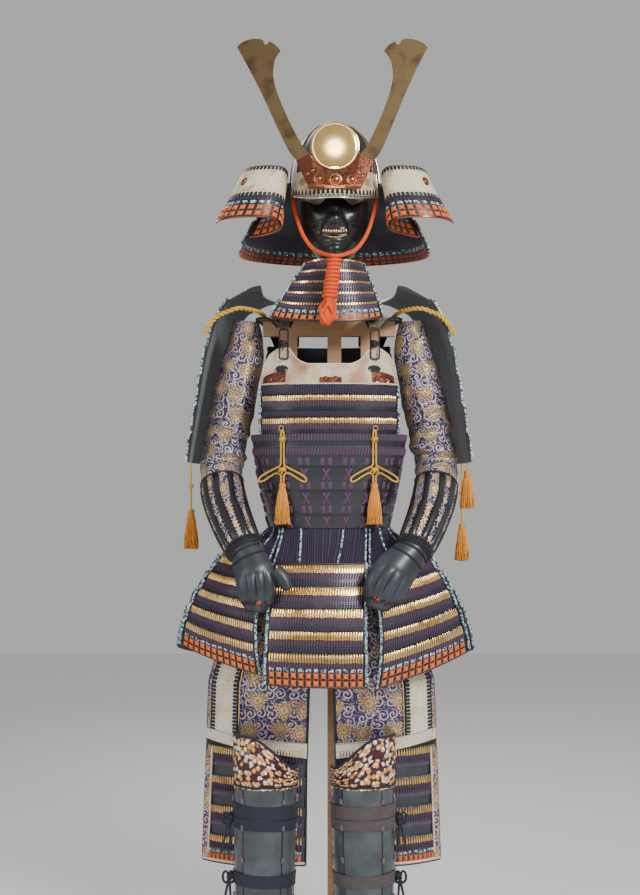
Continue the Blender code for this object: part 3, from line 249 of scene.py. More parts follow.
class Piece:
    def __init__(self, name):
        self.name = name
        self.points, self.faces, self.kinds, self.cut, self.edge = [], [], [], [], []
        self.finishes = []
        self.count = 0

    def add(self, points, faces, finish, cut=None, edge=None):
        """cut is each point's place on the flat cut; edge is how far it is from the top and the foot."""
        points = np.asarray(points, float).reshape(-1, 3)
        if finish not in self.finishes:
            self.finishes.append(finish)
        if cut is None:
            cut = points[:, [0, 2]]
        if edge is None:
            edge = np.full((len(points), 2), 0.05)
        self.points.append(points)
        self.faces.append(np.asarray(faces, int) + self.count)
        self.kinds.append(np.full(len(faces), self.finishes.index(finish)))
        self.cut.append(np.asarray(cut, float).reshape(-1, 2))
        self.edge.append(np.asarray(edge, float).reshape(-1, 2))
        self.count += len(points)

    def done(self, slot=None, sharp=38):
        """Make the mesh. It stands for the solid of its own name, where there is one."""
        points = np.concatenate(self.points)
        faces = [face for part in self.faces for face in part.tolist()]
        mesh = bpy.data.meshes.new(self.name)
        mesh.from_pydata(points.tolist(), [], faces)
        for finish in self.finishes:
            mesh.materials.append(FINISHES[finish])
        mesh.polygons.foreach_set("material_index", np.concatenate(self.kinds))
        corners = np.empty(len(mesh.loops), int)
        mesh.loops.foreach_get("vertex_index", corners)
        for layer, table_of in (("cut", self.cut), ("edge", self.edge)):
            places = np.concatenate(table_of)[corners]
            mesh.uv_layers.new(name=layer).data.foreach_set("uv", places.ravel())
        mesh.validate()
        mesh.shade_smooth()
        mesh.set_sharp_from_angle(angle=math.radians(sharp))
        made = bpy.data.objects.new(self.name.replace(" ", "-"), mesh)
        bpy.context.scene.collection.objects.link(made)
        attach(made, "root")
        node = self.name.replace(" ", "_")
        if node in SLOTS:
            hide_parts(node)
        MADE.append(sum(len(face) - 2 for face in faces))
        print(made.name, len(faces), "faces")
        return made


def begin(name, surface, across=48, down=64):
    """A new piece and the skin that it is made on."""
    return Piece(name), Skin(surface, across, down)


# %% [markdown]
# ## Walls, laces and turned shapes
# Three ways of making cover nearly the whole suit. A wall has an outer face, an inner face and rims. A
# motif is a small patch that is copied into cells of a skin. A rope is a tube round a path, whose
# radius may twist like strands.


# %% The wall
def wall(piece, skin, v_rows, out, finish, across=48, **options):
    """A wall between the skin and an outer face.

    v_rows are the rows of points, or how many rows there are. out is the outer face's height, one
    number or one for each row. Options: lining, closed, u_rows, and lift, which adds folds.
    """
    lining = options.get("lining", finish)
    lift = options.get("lift")
    v_rows = np.linspace(0, 1, v_rows) if isinstance(v_rows, int) else np.asarray(v_rows, float)
    out = np.broadcast_to(np.asarray(out, float), v_rows.shape)
    u = options.get("u_rows", skin.even(across))
    across = len(u) - 1
    grid_u, grid_v = np.meshgrid(u, v_rows)
    height = np.broadcast_to(out[:, None], grid_u.shape)
    folds = lift(grid_u, grid_v) if lift else np.zeros_like(grid_u)
    height = height + folds
    cut = np.stack([skin.share(grid_u), grid_v * skin.length], axis=-1).reshape(-1, 2)
    edge = np.stack([grid_v * skin.length, (1 - grid_v) * skin.length], axis=-1).reshape(-1, 2)
    size = grid_u.size
    outer = skin.at(grid_u, grid_v, height).reshape(-1, 3)
    inner = skin.at(grid_u, grid_v, np.minimum(folds, 0)).reshape(-1, 3)
    faces = grid_faces(len(v_rows), across + 1)
    numbers = np.arange(size).reshape(len(v_rows), across + 1)
    rims = [band(numbers[0], numbers[0] + size), band(numbers[-1] + size, numbers[-1])]
    if not options.get("closed"):
        rims += [band(numbers[:, 0] + size, numbers[:, 0]), band(numbers[:, -1], numbers[:, -1] + size)]
    both, cuts, edges = np.concatenate([outer, inner]), np.tile(cut, (2, 1)), np.tile(edge, (2, 1))
    if lining == finish:
        piece.add(both, np.concatenate([faces, faces[:, ::-1] + size, *rims]), finish, cuts, edges)
    else:
        piece.add(both, np.concatenate([faces, *rims]), finish, cuts, edges)
        piece.add(inner, faces[:, ::-1], lining, cut, edge)
    return lambda v: np.interp(v, v_rows, out)


# %% The motifs
def patch(columns, rows, height):
    """A grid of s and t from 0 to 1, with its height."""
    s, t = np.meshgrid(np.linspace(0, 1, columns), np.linspace(0, 1, rows))
    return s, t, height(s, t), grid_faces(rows, columns)


def dome(s, power):
    """1 in the middle of s and 0 at both its ends. A high power makes a flat top."""
    return np.clip(1 - np.abs(2 * s - 1) ** power, 0, 1)


def scale_head(wide=0.84):
    """The gilded top of one scale: a narrow rounded plate whose top is cut on a slant."""
    s, t, h, faces = patch(5, 4, lambda s, t: dome(s, 4) * (0.35 + 0.65 * np.minimum(1, 8 * t)))
    slant = 0.22 * s + 0.10 * np.abs(2 * s - 1) ** 3
    return 0.5 + wide * (s - 0.5), slant * (1 - t) ** 2 + t * 1.0, h, faces


def lace(lean=0.0, wide=0.62, rows=4):
    """A flat silk lace; lean is how far its top stands to the right of its foot."""
    ends = lambda t: np.clip(np.sin(math.pi * (0.06 + 0.88 * t)) * 2.2, 0, 1)
    s, t, h, faces = patch(4, rows, lambda s, t: dome(s, 2) * ends(t))
    return 0.5 + (s - 0.5) * wide + lean * (0.5 - t), t, h, faces


def cross_knot(pinch=0.24):
    """Two laces crossed so tightly that they make a small cushion with waisted sides."""
    def height(s, t):
        x, y = 2 * s - 1, 2 * t - 1
        dome = np.clip(1 - np.maximum(np.abs(x), np.abs(y)) ** 5, 0, 1)
        over = np.exp(-(((x - y) / 0.5) ** 2)) + 0.72 * np.exp(-(((x + y) / 0.5) ** 2))
        return dome * (0.45 + 0.55 * np.minimum(over, 1))

    s, t, h, faces = patch(7, 7, height)
    x, y = 2 * s - 1, 2 * t - 1
    waist_x = x * (1 - pinch * (1 - y * y) * np.abs(x) ** 2)
    waist_y = y * (1 - pinch * (1 - x * x) * np.abs(y) ** 2)
    return 0.5 + 0.41 * waist_x, 0.5 + 0.45 * waist_y, h, faces


def bead(wide=1.0, columns=5, rows=4):
    """A small hump of plaited cord."""
    round_top = lambda s, t: np.clip(1 - (2 * s - 1) ** 2 * 0.9 - (2 * t - 1) ** 2, 0, 1) ** 0.5
    s, t, h, faces = patch(columns, rows, round_top)
    return 0.5 + wide * (s - 0.5), t, h * (0.8 + 0.2 * np.cos(9 * s + 5 * t)), faces


def lay(piece, skin, motif, cells, base, height, finish):
    """Copy a motif into cells of the skin: rows of left u, right u, top v and foot v."""
    s, t, h, faces = motif
    cells = np.asarray(cells, float)
    if not len(cells):
        return
    u = cells[:, 0, None] + (cells[:, 1] - cells[:, 0])[:, None] * s.ravel()
    v = cells[:, 2, None] + (cells[:, 3] - cells[:, 2])[:, None] * t.ravel()
    under = base(v) if callable(base) else base
    points = skin.at(u, v, under + height * h.ravel())
    cut = np.stack([skin.share(u), v * skin.length], axis=-1)
    if height < 0:
        faces = faces[:, ::-1]
    copies = (faces[None] + np.arange(len(cells))[:, None, None] * s.size).reshape(-1, 4)
    piece.add(points.reshape(-1, 3), copies, finish, cut.reshape(-1, 2))


def row_of(skin, count, top, foot, start=0.0, end=1.0):
    """Cells side by side across a skin, from v = top to v = foot."""
    u = skin.even(count, start, end)
    return [(a, b, top, foot) for a, b in zip(u, u[1:])]


# %% The rope
def carried_frames(path):
    """Two directions across the path at each point, turned as little as possible."""
    ahead = np.gradient(path, axis=0)
    ahead /= np.maximum(np.linalg.norm(ahead, axis=1, keepdims=True), 1e-12)
    side = np.cross(ahead[0], (0, 0, 1))
    if np.linalg.norm(side) < 0.1:
        side = np.cross(ahead[0], (0, 1, 0))
    sides = []
    for direction in ahead:
        side = side - direction * side.dot(direction)
        side = side / max(np.linalg.norm(side), 1e-12)
        sides.append(side)
    sides = np.array(sides)
    return sides, np.cross(ahead, sides)


def rope(piece, path, radius, finish, strands=0, lay_length=0.01, sides=8, cyclic=False):
    """A tube round a path. With strands, its radius winds like twisted or plaited cord."""
    path = np.asarray(path, float)
    if cyclic:
        path = np.concatenate([path, path[:1]])
    one, other = carried_frames(path)
    run = np.concatenate([[0], np.cumsum(np.linalg.norm(np.diff(path, axis=0), axis=1))])
    turn = np.linspace(0, 2 * math.pi, sides + 1)
    thick = np.broadcast_to(np.asarray(radius, float), (len(path),))[:, None] * np.ones(sides + 1)
    if strands:
        winding = turn[None] + 2 * math.pi * run[:, None] / lay_length
        thick = thick * (0.90 + 0.10 * np.abs(np.cos(strands / 2 * winding)))
    across = one[:, None] * np.cos(turn)[None, :, None] + other[:, None] * np.sin(turn)[None, :, None]
    points = path[:, None] + across * thick[..., None]
    cut = np.stack(np.broadcast_arrays(turn[None] * np.mean(thick), run[:, None]), axis=-1)
    faces = grid_faces(len(path), sides + 1)[:, ::-1]
    piece.add(points.reshape(-1, 3), faces, finish, cut.reshape(-1, 2))
    if not cyclic:
        for end, order in ((0, 1), (len(path) - 1, -1)):
            ring = points[end, :-1]
            fan = np.arange(sides)
            middle = np.full(sides, sides)
            cap = np.stack([middle, fan, np.roll(fan, -1)], axis=1)[:, ::-order]
            piece.add(np.concatenate([ring, path[end][None]]), cap, finish)


def oval(middle, one, other, count=24):
    """Points of a closed ring round a middle, wound from the direction one to the direction other."""
    turn = np.linspace(0, 2 * math.pi, count + 1)[:-1, None]
    return np.asarray(middle) + np.cos(turn) * one + np.sin(turn) * other


def turned(piece, profile, centre, axis, finish, steps=32, ridge=0.0, ridges=0):
    """A shape turned on a lathe: profile rows are radius and height along the axis."""
    profile = np.asarray(profile, float)
    axis = np.asarray(axis, float) / np.linalg.norm(axis)
    one = np.cross(axis, (0.0, 0.0, 1.0))
    if np.linalg.norm(one) < 0.1:
        one = np.array((1.0, 0.0, 0.0))
    one = one / np.linalg.norm(one)
    other = np.cross(axis, one)
    turn = np.linspace(0, 2 * math.pi, steps + 1)
    radius = profile[:, 0, None] * (1 + ridge * np.cos(ridges * turn)[None])
    spokes = one[None] * np.cos(turn)[:, None] + other[None] * np.sin(turn)[:, None]
    points = np.asarray(centre, float) + radius[..., None] * spokes[None] + profile[:, 1, None, None] * axis
    cut = np.stack(np.broadcast_arrays(turn[None] * 0.01, profile[:, 1, None]), axis=-1)
    faces = grid_faces(len(profile), steps + 1)
    piece.add(points.reshape(-1, 3), faces[:, ::-1], finish, cut.reshape(-1, 2))


# %% [markdown]
# ## Finishes
# A finish is a Principled shader and a few nodes that vary its colour, roughness and height. Cloth and
# leather read the flat cut in metres, so a motif keeps its real size on every panel.


# %% Writing a shader in short calls
class Finish:
    def __init__(self, name, colour, rough, metal=0.0, **sockets):
        self.material = bpy.data.materials.new(name)
        self.material.use_nodes = True
        self.tree = self.material.node_tree
        self.shader = self.tree.nodes["Principled BSDF"]
        self.colour = colour
        self.put("Base Color", (*colour, 1))
        self.put("Roughness", rough)
        self.put("Metallic", metal)
        for socket, value in sockets.items():
            self.put(socket.replace("_", " "), value)
        FINISHES[name] = self.material

    def feed(self, socket, value):
        """Link what another node makes, or set a plain value."""
        if isinstance(value, bpy.types.NodeSocket):
            self.tree.links.new(value, socket)
        else:
            socket.default_value = value

    def put(self, socket, value):
        self.feed(self.shader.inputs[socket], value)

    def node(self, kind, inputs=(), out=0, **settings):
        made = self.tree.nodes.new(kind)
        for key, value in settings.items():
            setattr(made, key, value)
        for key, value in dict(inputs).items():
            self.feed(made.inputs[key], value)
        return made.outputs if out is None else made.outputs[out]

    def sum(self, operation, a, b=0.0, c=0.0):
        return self.node("ShaderNodeMath", {0: a, 1: b, 2: c}, operation=operation)

    def times(self, a, b):
        return self.sum("MULTIPLY", a, b)

    def scaled_sum(self, a, by, plus):
        return self.sum("MULTIPLY_ADD", a, by, plus)

    def wave(self, value, often):
        return self.sum("SINE", self.times(value, often))

    def cut(self, layer="cut"):
        return self.node("ShaderNodeUVMap", uv_map=layer)

    def place(self):
        return self.node("ShaderNodeTexCoord", out="Object")

    def split(self, vector):
        return self.node("ShaderNodeSeparateXYZ", {0: vector}, None)

    def vector(self, operation, a, b):
        return self.node("ShaderNodeVectorMath", {0: a, 1: b}, operation=operation)

    def noise(self, where, scale, detail=3.0, out=0):
        return self.node("ShaderNodeTexNoise", {"Vector": where, "Scale": scale, "Detail": detail}, out)

    def cells(self, where, scale, wander=1.0, flat=True):
        """A Voronoi texture's outputs. wander is how uneven its cells are."""
        inputs = {"Vector": where, "Scale": scale, "Randomness": wander}
        return self.node("ShaderNodeTexVoronoi", inputs, None, voronoi_dimensions="2D" if flat else "3D")

    def step(self, value, low, high):
        """0 below low, 1 above high, smooth between."""
        return self.node("ShaderNodeMapRange", {0: value, 1: low, 2: high}, interpolation_type="SMOOTHSTEP")

    def blend(self, share, a, b):
        a, b = ((*c, 1) if isinstance(c, tuple) and len(c) == 3 else c for c in (a, b))
        return self.node("ShaderNodeMix", {0: share, 6: a, 7: b}, 2, data_type="RGBA")

    def raised(self, height, distance, strength=1.0):
        inputs = {"Height": height, "Distance": distance, "Strength": strength}
        self.put("Normal", self.node("ShaderNodeBump", inputs))


def dyed(colour, *shares):
    """A colour made darker or lighter, by one share or by one for each channel."""
    return tuple(c * k for c, k in zip(colour, shares * 3 if len(shares) == 1 else shares))


FINISHES = {}

# %% [markdown]
# ### Lacquer and metals
# Lacquer is never one flat black: soft mottling changes its gloss, and its coat catches the light.
# Metals are satin from handling, with faint stains.

# %% Plain hard finishes
SOFT_METALS = {
    "brass": ((0.120, 0.086, 0.040), 0.44, (0.072, 0.042, 0.027)),
    "gilt": ((1.00, 0.70, 0.27), 0.14, (0.90, 0.56, 0.18)),
    "silver": ((0.72, 0.72, 0.70), 0.28, (0.45, 0.45, 0.44)),
    "copper": ((0.40, 0.140, 0.068), 0.28, (0.18, 0.055, 0.030)),
    "gold_leaf": ((0.92, 0.63, 0.25), 0.30, (0.60, 0.34, 0.11)),
}
for name, (colour, rough, stained) in SOFT_METALS.items():
    metal = Finish(name, colour, rough, 1.0)
    cloud = metal.noise(metal.place(), 38.0, 4.0)
    stain = metal.step(cloud, 0.45, 0.75)
    metal.put("Base Color", metal.blend(stain, colour, stained))
    metal.put("Roughness", metal.scaled_sum(cloud, 0.6 * rough, 0.6 * rough))
    fine = metal.noise(metal.place(), 900.0, 2.0)
    metal.raised(fine, 0.00004, 0.5)

LACQUERS = {
    "lacquer": ((0.008, 0.009, 0.011), 0.36, 0.15),
    "slate": ((0.022, 0.026, 0.034), 0.42, 0.15),
    "arm_lacquer": ((0.0095, 0.010, 0.013), 0.34, 0.3),
    "shin_lacquer": ((0.040, 0.050, 0.056), 0.34, 0.25),
    "mask_lacquer": ((0.0035, 0.0038, 0.005), 0.34, 0.35),
}
for name, (colour, rough, coat) in LACQUERS.items():
    hard = Finish(name, colour, rough, 0.0, Coat_Weight=coat, Coat_Roughness=0.18)
    cloud = hard.noise(hard.place(), 22.0, 4.0)
    hard.put("Base Color", hard.blend(hard.step(cloud, 0.35, 0.75), colour, dyed(colour, 1.9)))
    hard.put("Roughness", hard.scaled_sum(cloud, 0.25, rough - 0.10))
    hard.raised(hard.noise(hard.place(), 260.0, 3.0), 0.0003, 0.25)

engraved = Finish("engraved_copper", (0.12, 0.038, 0.020), 0.42, 0.85)
dots = engraved.cells(engraved.place(), 330.0, flat=False)["Distance"]
swirl = engraved.noise(engraved.place(), 95.0, 2.0)
pits = engraved.times(engraved.step(dots, 0.55, 0.25), engraved.step(swirl, 0.42, 0.56))
engraved.put("Base Color", engraved.blend(pits, (0.16, 0.050, 0.027), (0.020, 0.007, 0.004)))
engraved.raised(engraved.times(pits, -1.0), 0.0005, 0.8)

# %% [markdown]
# ### Wood, cloth and cord
# Cord finishes wind a fine slanted grain round the tube. The speckled one mixes white, blue and green
# threads, as edge braid does.

# %% Wood and cords
wood = Finish("stand_wood", (0.50, 0.28, 0.14), 0.5)
grain_place = wood.vector("MULTIPLY", wood.place(), (3.0, 60.0, 60.0))
grain = wood.noise(grain_place, 1.6, 5.0)
wood.put("Base Color", wood.blend(grain, (0.36, 0.18, 0.08), (0.64, 0.38, 0.20)))
wood.put("Roughness", wood.scaled_sum(grain, 0.2, 0.38))
wood.raised(grain, 0.0004, 0.4)

CORDS = {
    "purple_lace": ((0.046, 0.027, 0.072), (0.020, 0.011, 0.032), 0.66),
    "plum_knot": ((0.112, 0.052, 0.108), (0.050, 0.022, 0.050), 0.66),
    "mauve_knot": ((0.24, 0.13, 0.21), (0.11, 0.055, 0.10), 0.66),
    "orange_lace": ((0.86, 0.205, 0.040), (0.48, 0.070, 0.012), 0.60),
    "orange_cord": ((0.98, 0.105, 0.004), (0.60, 0.034, 0.002), 0.62),
    "gold_cord": ((0.86, 0.36, 0.035), (0.48, 0.15, 0.012), 0.55),
    "yellow_cord": ((0.84, 0.50, 0.045), (0.44, 0.21, 0.012), 0.50),
    "black_cord": ((0.012, 0.012, 0.016), (0.004, 0.004, 0.006), 0.55),
    "navy_tape": ((0.020, 0.025, 0.044), (0.009, 0.011, 0.021), 0.80),
    "taupe_tape": ((0.100, 0.078, 0.082), (0.050, 0.038, 0.042), 0.80),
}
for name, (colour, shade, rough) in CORDS.items():
    silk = Finish(name, colour, rough, 0.0, Sheen_Weight=0.06, Sheen_Roughness=0.4)
    x, y, _ = silk.split(silk.cut())
    slant = silk.scaled_sum(x, 1.0, y)
    threads = silk.wave(slant, 5200.0)
    other = silk.sum("SINE", silk.times(silk.sum("SUBTRACT", y, x), 5200.0))
    weave = silk.scaled_sum(silk.sum("MAXIMUM", threads, other), 0.5, 0.5)
    worn = silk.noise(silk.place(), 70.0, 3.0)
    depth = silk.scaled_sum(weave, 0.55, silk.times(worn, 0.5))
    # The shade colour fills the weave's troughs as painted shade between the threads; the worn noise adds
    # uneven tone.
    silk.put("Base Color", silk.blend(silk.step(depth, 0.15, 0.95), shade, colour))
    silk.raised(weave, 0.0003, 0.6)

braid = Finish("speckled_braid", (0.3, 0.35, 0.4), 0.65, 0.0, Sheen_Weight=0.2)
cells = braid.cells(braid.place(), 330.0, flat=False)
pick, second, _ = braid.split(cells["Color"])
tone = braid.blend(braid.step(pick, 0.46, 0.52), (0.018, 0.030, 0.075), (0.62, 0.70, 0.78))
tone = braid.blend(braid.step(second, 0.72, 0.76), tone, (0.14, 0.30, 0.26))
braid.put("Base Color", tone)
braid.raised(cells["Distance"], 0.0012, 0.6)

PLAIN_CLOTHS = {
    "head_cloth": ((0.80, 0.76, 0.68), 0.85),
    "dark_cloth": ((0.012, 0.013, 0.018), 0.85),
    "navy_lining": ((0.022, 0.028, 0.042), 0.75),
}
for name, (colour, rough) in PLAIN_CLOTHS.items():
    cloth = Finish(name, colour, rough, 0.0, Sheen_Weight=0.2)
    x, y, _ = cloth.split(cloth.cut())
    warp = cloth.wave(x, 6000.0)
    weft = cloth.wave(y, 6000.0)
    weave = cloth.times(warp, weft)
    lint = cloth.noise(cloth.place(), 60.0, 4.0)
    cloth.put("Base Color", cloth.blend(lint, dyed(colour, 0.75), dyed(colour, 1.3)))
    cloth.raised(weave, 0.0003, 0.5)

# %% [markdown]
# ### Printed leather
# Cream deerskin is stencilled with rows of small dots and edged with a black toothed band that white
# stitches cross. The band reads how far the point is from the top and foot edges of its cut.


# %% Printed leather
def toothed_edge(finish, distance, x, deep=0.0065, tooth=0.0085):
    """1 inside a black band with rounded teeth, and 1 on the white stitches that cross it."""
    wave = finish.sum("ABSOLUTE", finish.wave(x, math.pi / tooth))
    reach = finish.scaled_sum(wave, 0.0032, deep)
    inside = finish.step(finish.sum("SUBTRACT", reach, distance), 0.0, 0.0006)
    stitch = finish.step(wave, 0.22, 0.12)
    stitch = finish.times(stitch, finish.step(distance, 0.0010, 0.0018))
    return inside, finish.times(stitch, inside)


def leather(name, cream, patches=0.0, edges=("top", "foot"), dots=0.5):
    made = Finish(name, cream, 0.62)
    cut = made.cut()
    x, y, _ = made.split(cut)
    from_top, from_foot, _ = made.split(made.cut("edge"))
    stains = made.noise(cut, 24.0, 4.0)
    aged = made.blend(made.step(stains, 0.45, 0.70), cream, dyed(cream, 0.86, 0.76, 0.58))
    if patches:
        big = made.noise(cut, 15.0, 3.0)
        rust = made.step(big, 0.56 - 0.08 * patches, 0.68)
        aged = made.blend(rust, aged, (0.42, 0.145, 0.040))
    spot = made.step(made.cells(cut, 290.0, 0.6)["Distance"], 0.28, 0.18)
    clouds = made.step(made.noise(cut, 42.0, 2.0), 0.50 - 0.1 * dots, 0.58)
    rim = made.step(made.sum("MINIMUM", from_top, from_foot), 0.024, 0.012)
    where = made.sum("MAXIMUM", made.times(clouds, 0.6), rim)
    inked = made.blend(made.times(spot, where), aged, (0.10, 0.075, 0.05))
    scrolls = made.sum("ABSOLUTE", made.sum("SUBTRACT", made.noise(cut, 85.0, 2.0), 0.5))
    line = made.times(made.step(scrolls, 0.020, 0.008), made.step(where, 0.6, 0.2))
    tone = made.blend(made.times(line, 0.55), inked, (0.16, 0.12, 0.07))
    for edge, distance in (("top", from_top), ("foot", from_foot)):
        if edge in edges:
            inside, stitch = toothed_edge(made, distance, x)
            tone = made.blend(inside, tone, (0.014, 0.015, 0.020))
            tone = made.blend(stitch, tone, (0.78, 0.76, 0.70))
    made.put("Base Color", tone)
    made.put("Roughness", made.scaled_sum(stains, 0.25, 0.45))
    made.raised(made.noise(cut, 700.0, 3.0), 0.0003, 0.5)
    return made


leather("visor_leather", (0.70, 0.59, 0.38), patches=0.6, edges=("foot",), dots=1.0)
leather("turnback_leather", (0.80, 0.71, 0.50), patches=0.3, dots=1.5)
leather("breast_leather", (0.80, 0.71, 0.53), patches=2.6, edges=(), dots=1.3)
leather("border_leather", (0.84, 0.78, 0.60), dots=0.8)

# %% [markdown]
# ### Brocade
# Figured silk has a dark ground, round gold blossoms and pale curling tendrils. Cells of a Voronoi
# texture give each motif its own middle, and the angle and distance from that middle draw the petals
# and the spirals. Gold thread is smoother and a little metallic, so it flares where a fold turns.


# %% Brocade
def polar(finish, where, size, wander):
    """How far it is, and in which direction, to the middle of the nearest motif of that size."""
    where = finish.vector("MULTIPLY", where, (1 / size,) * 3)
    cell = finish.cells(where, 1.0, wander)
    x, y, _ = finish.split(finish.vector("SUBTRACT", where, cell["Position"]))
    return cell["Distance"], finish.sum("ARCTAN2", y, x)


def brocade(name, ground, gold, pale, blossom=0.052, tendril=0.024, vine=75.0):
    made = Finish(name, ground, 0.5, 0.0, Sheen_Weight=0.15)
    cut = made.cut()
    drift = made.vector("SUBTRACT", made.noise(cut, 45.0, 1.0, "Color"), (0.5, 0.5, 0.5))
    bent = made.vector("ADD", cut, made.vector("MULTIPLY", drift, (0.006, 0.006, 0.0)))
    reach, angle = polar(made, bent, tendril, 0.65)
    coil = made.sum("SINE", made.scaled_sum(reach, 17.0, angle))
    curl = made.times(made.step(coil, 0.40, 0.75), made.step(reach, 0.56, 0.48))
    wander = made.sum("ABSOLUTE", made.sum("SUBTRACT", made.noise(cut, vine, 2.0), 0.5))
    curl = made.sum("MAXIMUM", curl, made.step(wander, 0.018, 0.009))
    size, turn = polar(made, bent, blossom, 0.55)
    petals = made.wave(turn, 9.0)
    leaves = made.sum("SINE", made.scaled_sum(turn, 3.0, made.times(size, 9.0)))
    rim = made.scaled_sum(petals, 0.028, made.scaled_sum(leaves, 0.06, 0.37))
    flower = made.step(made.sum("SUBTRACT", rim, size), 0.0, 0.02)
    rings = made.sum("SINE", made.scaled_sum(size, 44.0, made.times(petals, 1.6)))
    spokes = made.sum("SINE", made.scaled_sum(turn, 14.0, made.times(size, 16.0)))
    spokes = made.times(made.step(spokes, 0.35, 0.75), made.step(size, 0.13, 0.17))
    gap = made.times(made.sum("MAXIMUM", made.step(rings, 0.55, 0.9), spokes), flower)
    shade = made.noise(cut, 30.0, 2.0)
    gold_tone = made.blend(made.step(shade, 0.35, 0.65), dyed(gold, 0.62), gold)
    tone = made.blend(curl, ground, pale)
    tone = made.blend(flower, tone, gold_tone)
    tone = made.blend(made.times(gap, 0.85), tone, dyed(ground, 0.9))
    thread = made.sum("MAXIMUM", made.times(curl, 0.5), made.sum("SUBTRACT", flower, gap))
    made.put("Base Color", tone)
    made.put("Metallic", made.times(thread, 0.6))
    made.put("Roughness", made.scaled_sum(thread, -0.20, 0.52))
    x, y, _ = made.split(cut)
    weave = made.sum("SINE", made.times(made.sum("ADD", x, y), 5000.0))
    made.raised(made.scaled_sum(weave, 0.15, thread), 0.0006, 0.8)
    return made


brocade("sleeve_brocade", (0.026, 0.012, 0.052), (0.90, 0.63, 0.33), (0.66, 0.57, 0.62), 0.048, 0.020, 90.0)
brocade("thigh_brocade", (0.042, 0.019, 0.090), (1.00, 0.66, 0.30), (0.70, 0.61, 0.60), 0.056, 0.023)
brocade("strap_brocade", (0.012, 0.011, 0.016), (0.46, 0.33, 0.15), (0.40, 0.34, 0.22), 0.030, 0.014, 120.0)

quilt = Finish("quilt_brocade", (0.85, 0.50, 0.20), 0.35, 0.6)
nuggets = quilt.cells(quilt.cut(), 105.0)
chance, _, _ = quilt.split(nuggets["Color"])
# Each cell takes one of four colours: dark plum ground, copper, gold and white; the white cells are painted
# highlights on the puffs.
tone = quilt.blend(quilt.step(chance, 0.20, 0.26), (0.10, 0.025, 0.045), (0.92, 0.46, 0.14))
tone = quilt.blend(quilt.step(chance, 0.52, 0.58), tone, (1.00, 0.70, 0.34))
tone = quilt.blend(quilt.step(chance, 0.76, 0.82), tone, (1.00, 0.90, 0.78))
# The cell borders are painted shade: darker and less metallic in the grooves between the puffs.
groove_shade = quilt.step(nuggets["Distance"], 0.36, 0.58)
quilt.put("Base Color", quilt.blend(groove_shade, tone, (0.055, 0.014, 0.022)))
quilt.put("Metallic", quilt.scaled_sum(groove_shade, -0.55, 0.6))
quilt.raised(quilt.times(nuggets["Distance"], -1.0), 0.0035, 0.9)
print("finishes:", len(FINISHES))

# %% [markdown]
# ## Laced lames
# A lame is a row of scales with gilded heads. Laces come out below the heads on a slant, and others
# hang upright to the next lame. The lowest lame ends in speckled knots and two rows of orange
# cross-knots. One table says which bands a lame has, from its top to its foot, and one function lays
# them on any skin, so every laced piece of the suit is made the same way.

# %% One lame's bands
RNG = np.random.default_rng(11)
MOTIFS = {
    "heads": (scale_head(), "gold_leaf", 0.0014),
    "slant": (lace(0.42, 0.66), "plum_knot", 0.0016),
    "upright": (lace(0.0, 0.66, 5), "purple_lace", 0.0014),
    "dots": (bead(0.6, 3, 3), "dot_silk", 0.0010),
    "pips": (bead(0.5, 4, 4), "mauve_knot", 0.0022),
    "fingers": (scale_head(0.60), "gold_leaf", 0.0018),
    "knots": (bead(0.72, 6, 5), "speckled_braid", 0.0026),
    "blocks": (cross_knot(), "orange_lace", 0.0034),
    "dark_blocks": (cross_knot(), "shaded_orange_lace", 0.0030),
}
LAMES = {
    "scale": table(
        "what top foot per",
        ("heads", 0.00, 0.42, 1),
        ("slant", 0.43, 0.71, 1),
        ("dots", 0.74, 0.80, 1),
        ("upright", 0.82, 1.00, 1),
    ),
    "edge": table(
        "what top foot per",
        ("heads", 0.00, 0.28, 1),
        ("slant", 0.285, 0.44, 1),
        ("knots", 0.450, 0.545, 0.37),
        ("blocks", 0.550, 0.760, 0.37),
        ("blocks", 0.765, 0.985, 0.37),
    ),
}


def laced(piece, skin, lames, heads, thick, proud=0.0040, **options):
    """Lames are rows of top v, foot v and kind. heads is the number of scales across."""
    v_rows, out = [], []
    for top, foot, kind in lames:
        fall = foot - top
        v_rows += [top + 0.001, top + 0.05 * fall, top + 0.36 * fall, foot - 0.001]
        out += [thick + 0.4 * proud, thick + proud, thick + 0.8 * proud, thick]
    start, end = options.get("top", lames[0][0]), options.get("foot", lames[-1][1])
    v_rows[0], v_rows[-1] = start, end
    lining = options.get("lining", "navy_lining")
    ground = options.get("ground", "lacquer")
    base = wall(piece, skin, v_rows, out, ground, across=heads, lining=lining)
    margin = options.get("margin", 0.008) / skin.width
    for top, foot, kind in lames:
        for row in LAMES[kind]:
            motif, finish, rise = MOTIFS[row["what"]]
            count = max(2, round(heads * row["per"]))
            span = [mix(top, foot, row[key]) for key in ("top", "foot")]
            cells = np.array(row_of(skin, count, *span, margin, 1 - margin))
            shake = 0.025 * (span[1] - span[0])
            cells[:, 2:] += RNG.normal(0, shake, (count, 2)).clip(-2 * shake, 2 * shake)
            lay(piece, skin, motif, cells, base, rise, finish)
    return base


def edge_cord(piece, skin, u, v0, v1, base, radius=0.0030, finish="speckled_braid", steps=60):
    """A plaited cord sewn along a skin, at u, from v0 to v1."""
    v = np.linspace(v0, v1, steps)
    height = base(v) if callable(base) else base
    path = skin.at(u, v, height + 0.5 * radius)
    rope(piece, path, radius, finish, 4, 0.014)


Finish("pale_rim", (0.70, 0.66, 0.56), 0.5)
Finish("dot_silk", (0.055, 0.046, 0.075), 0.7)
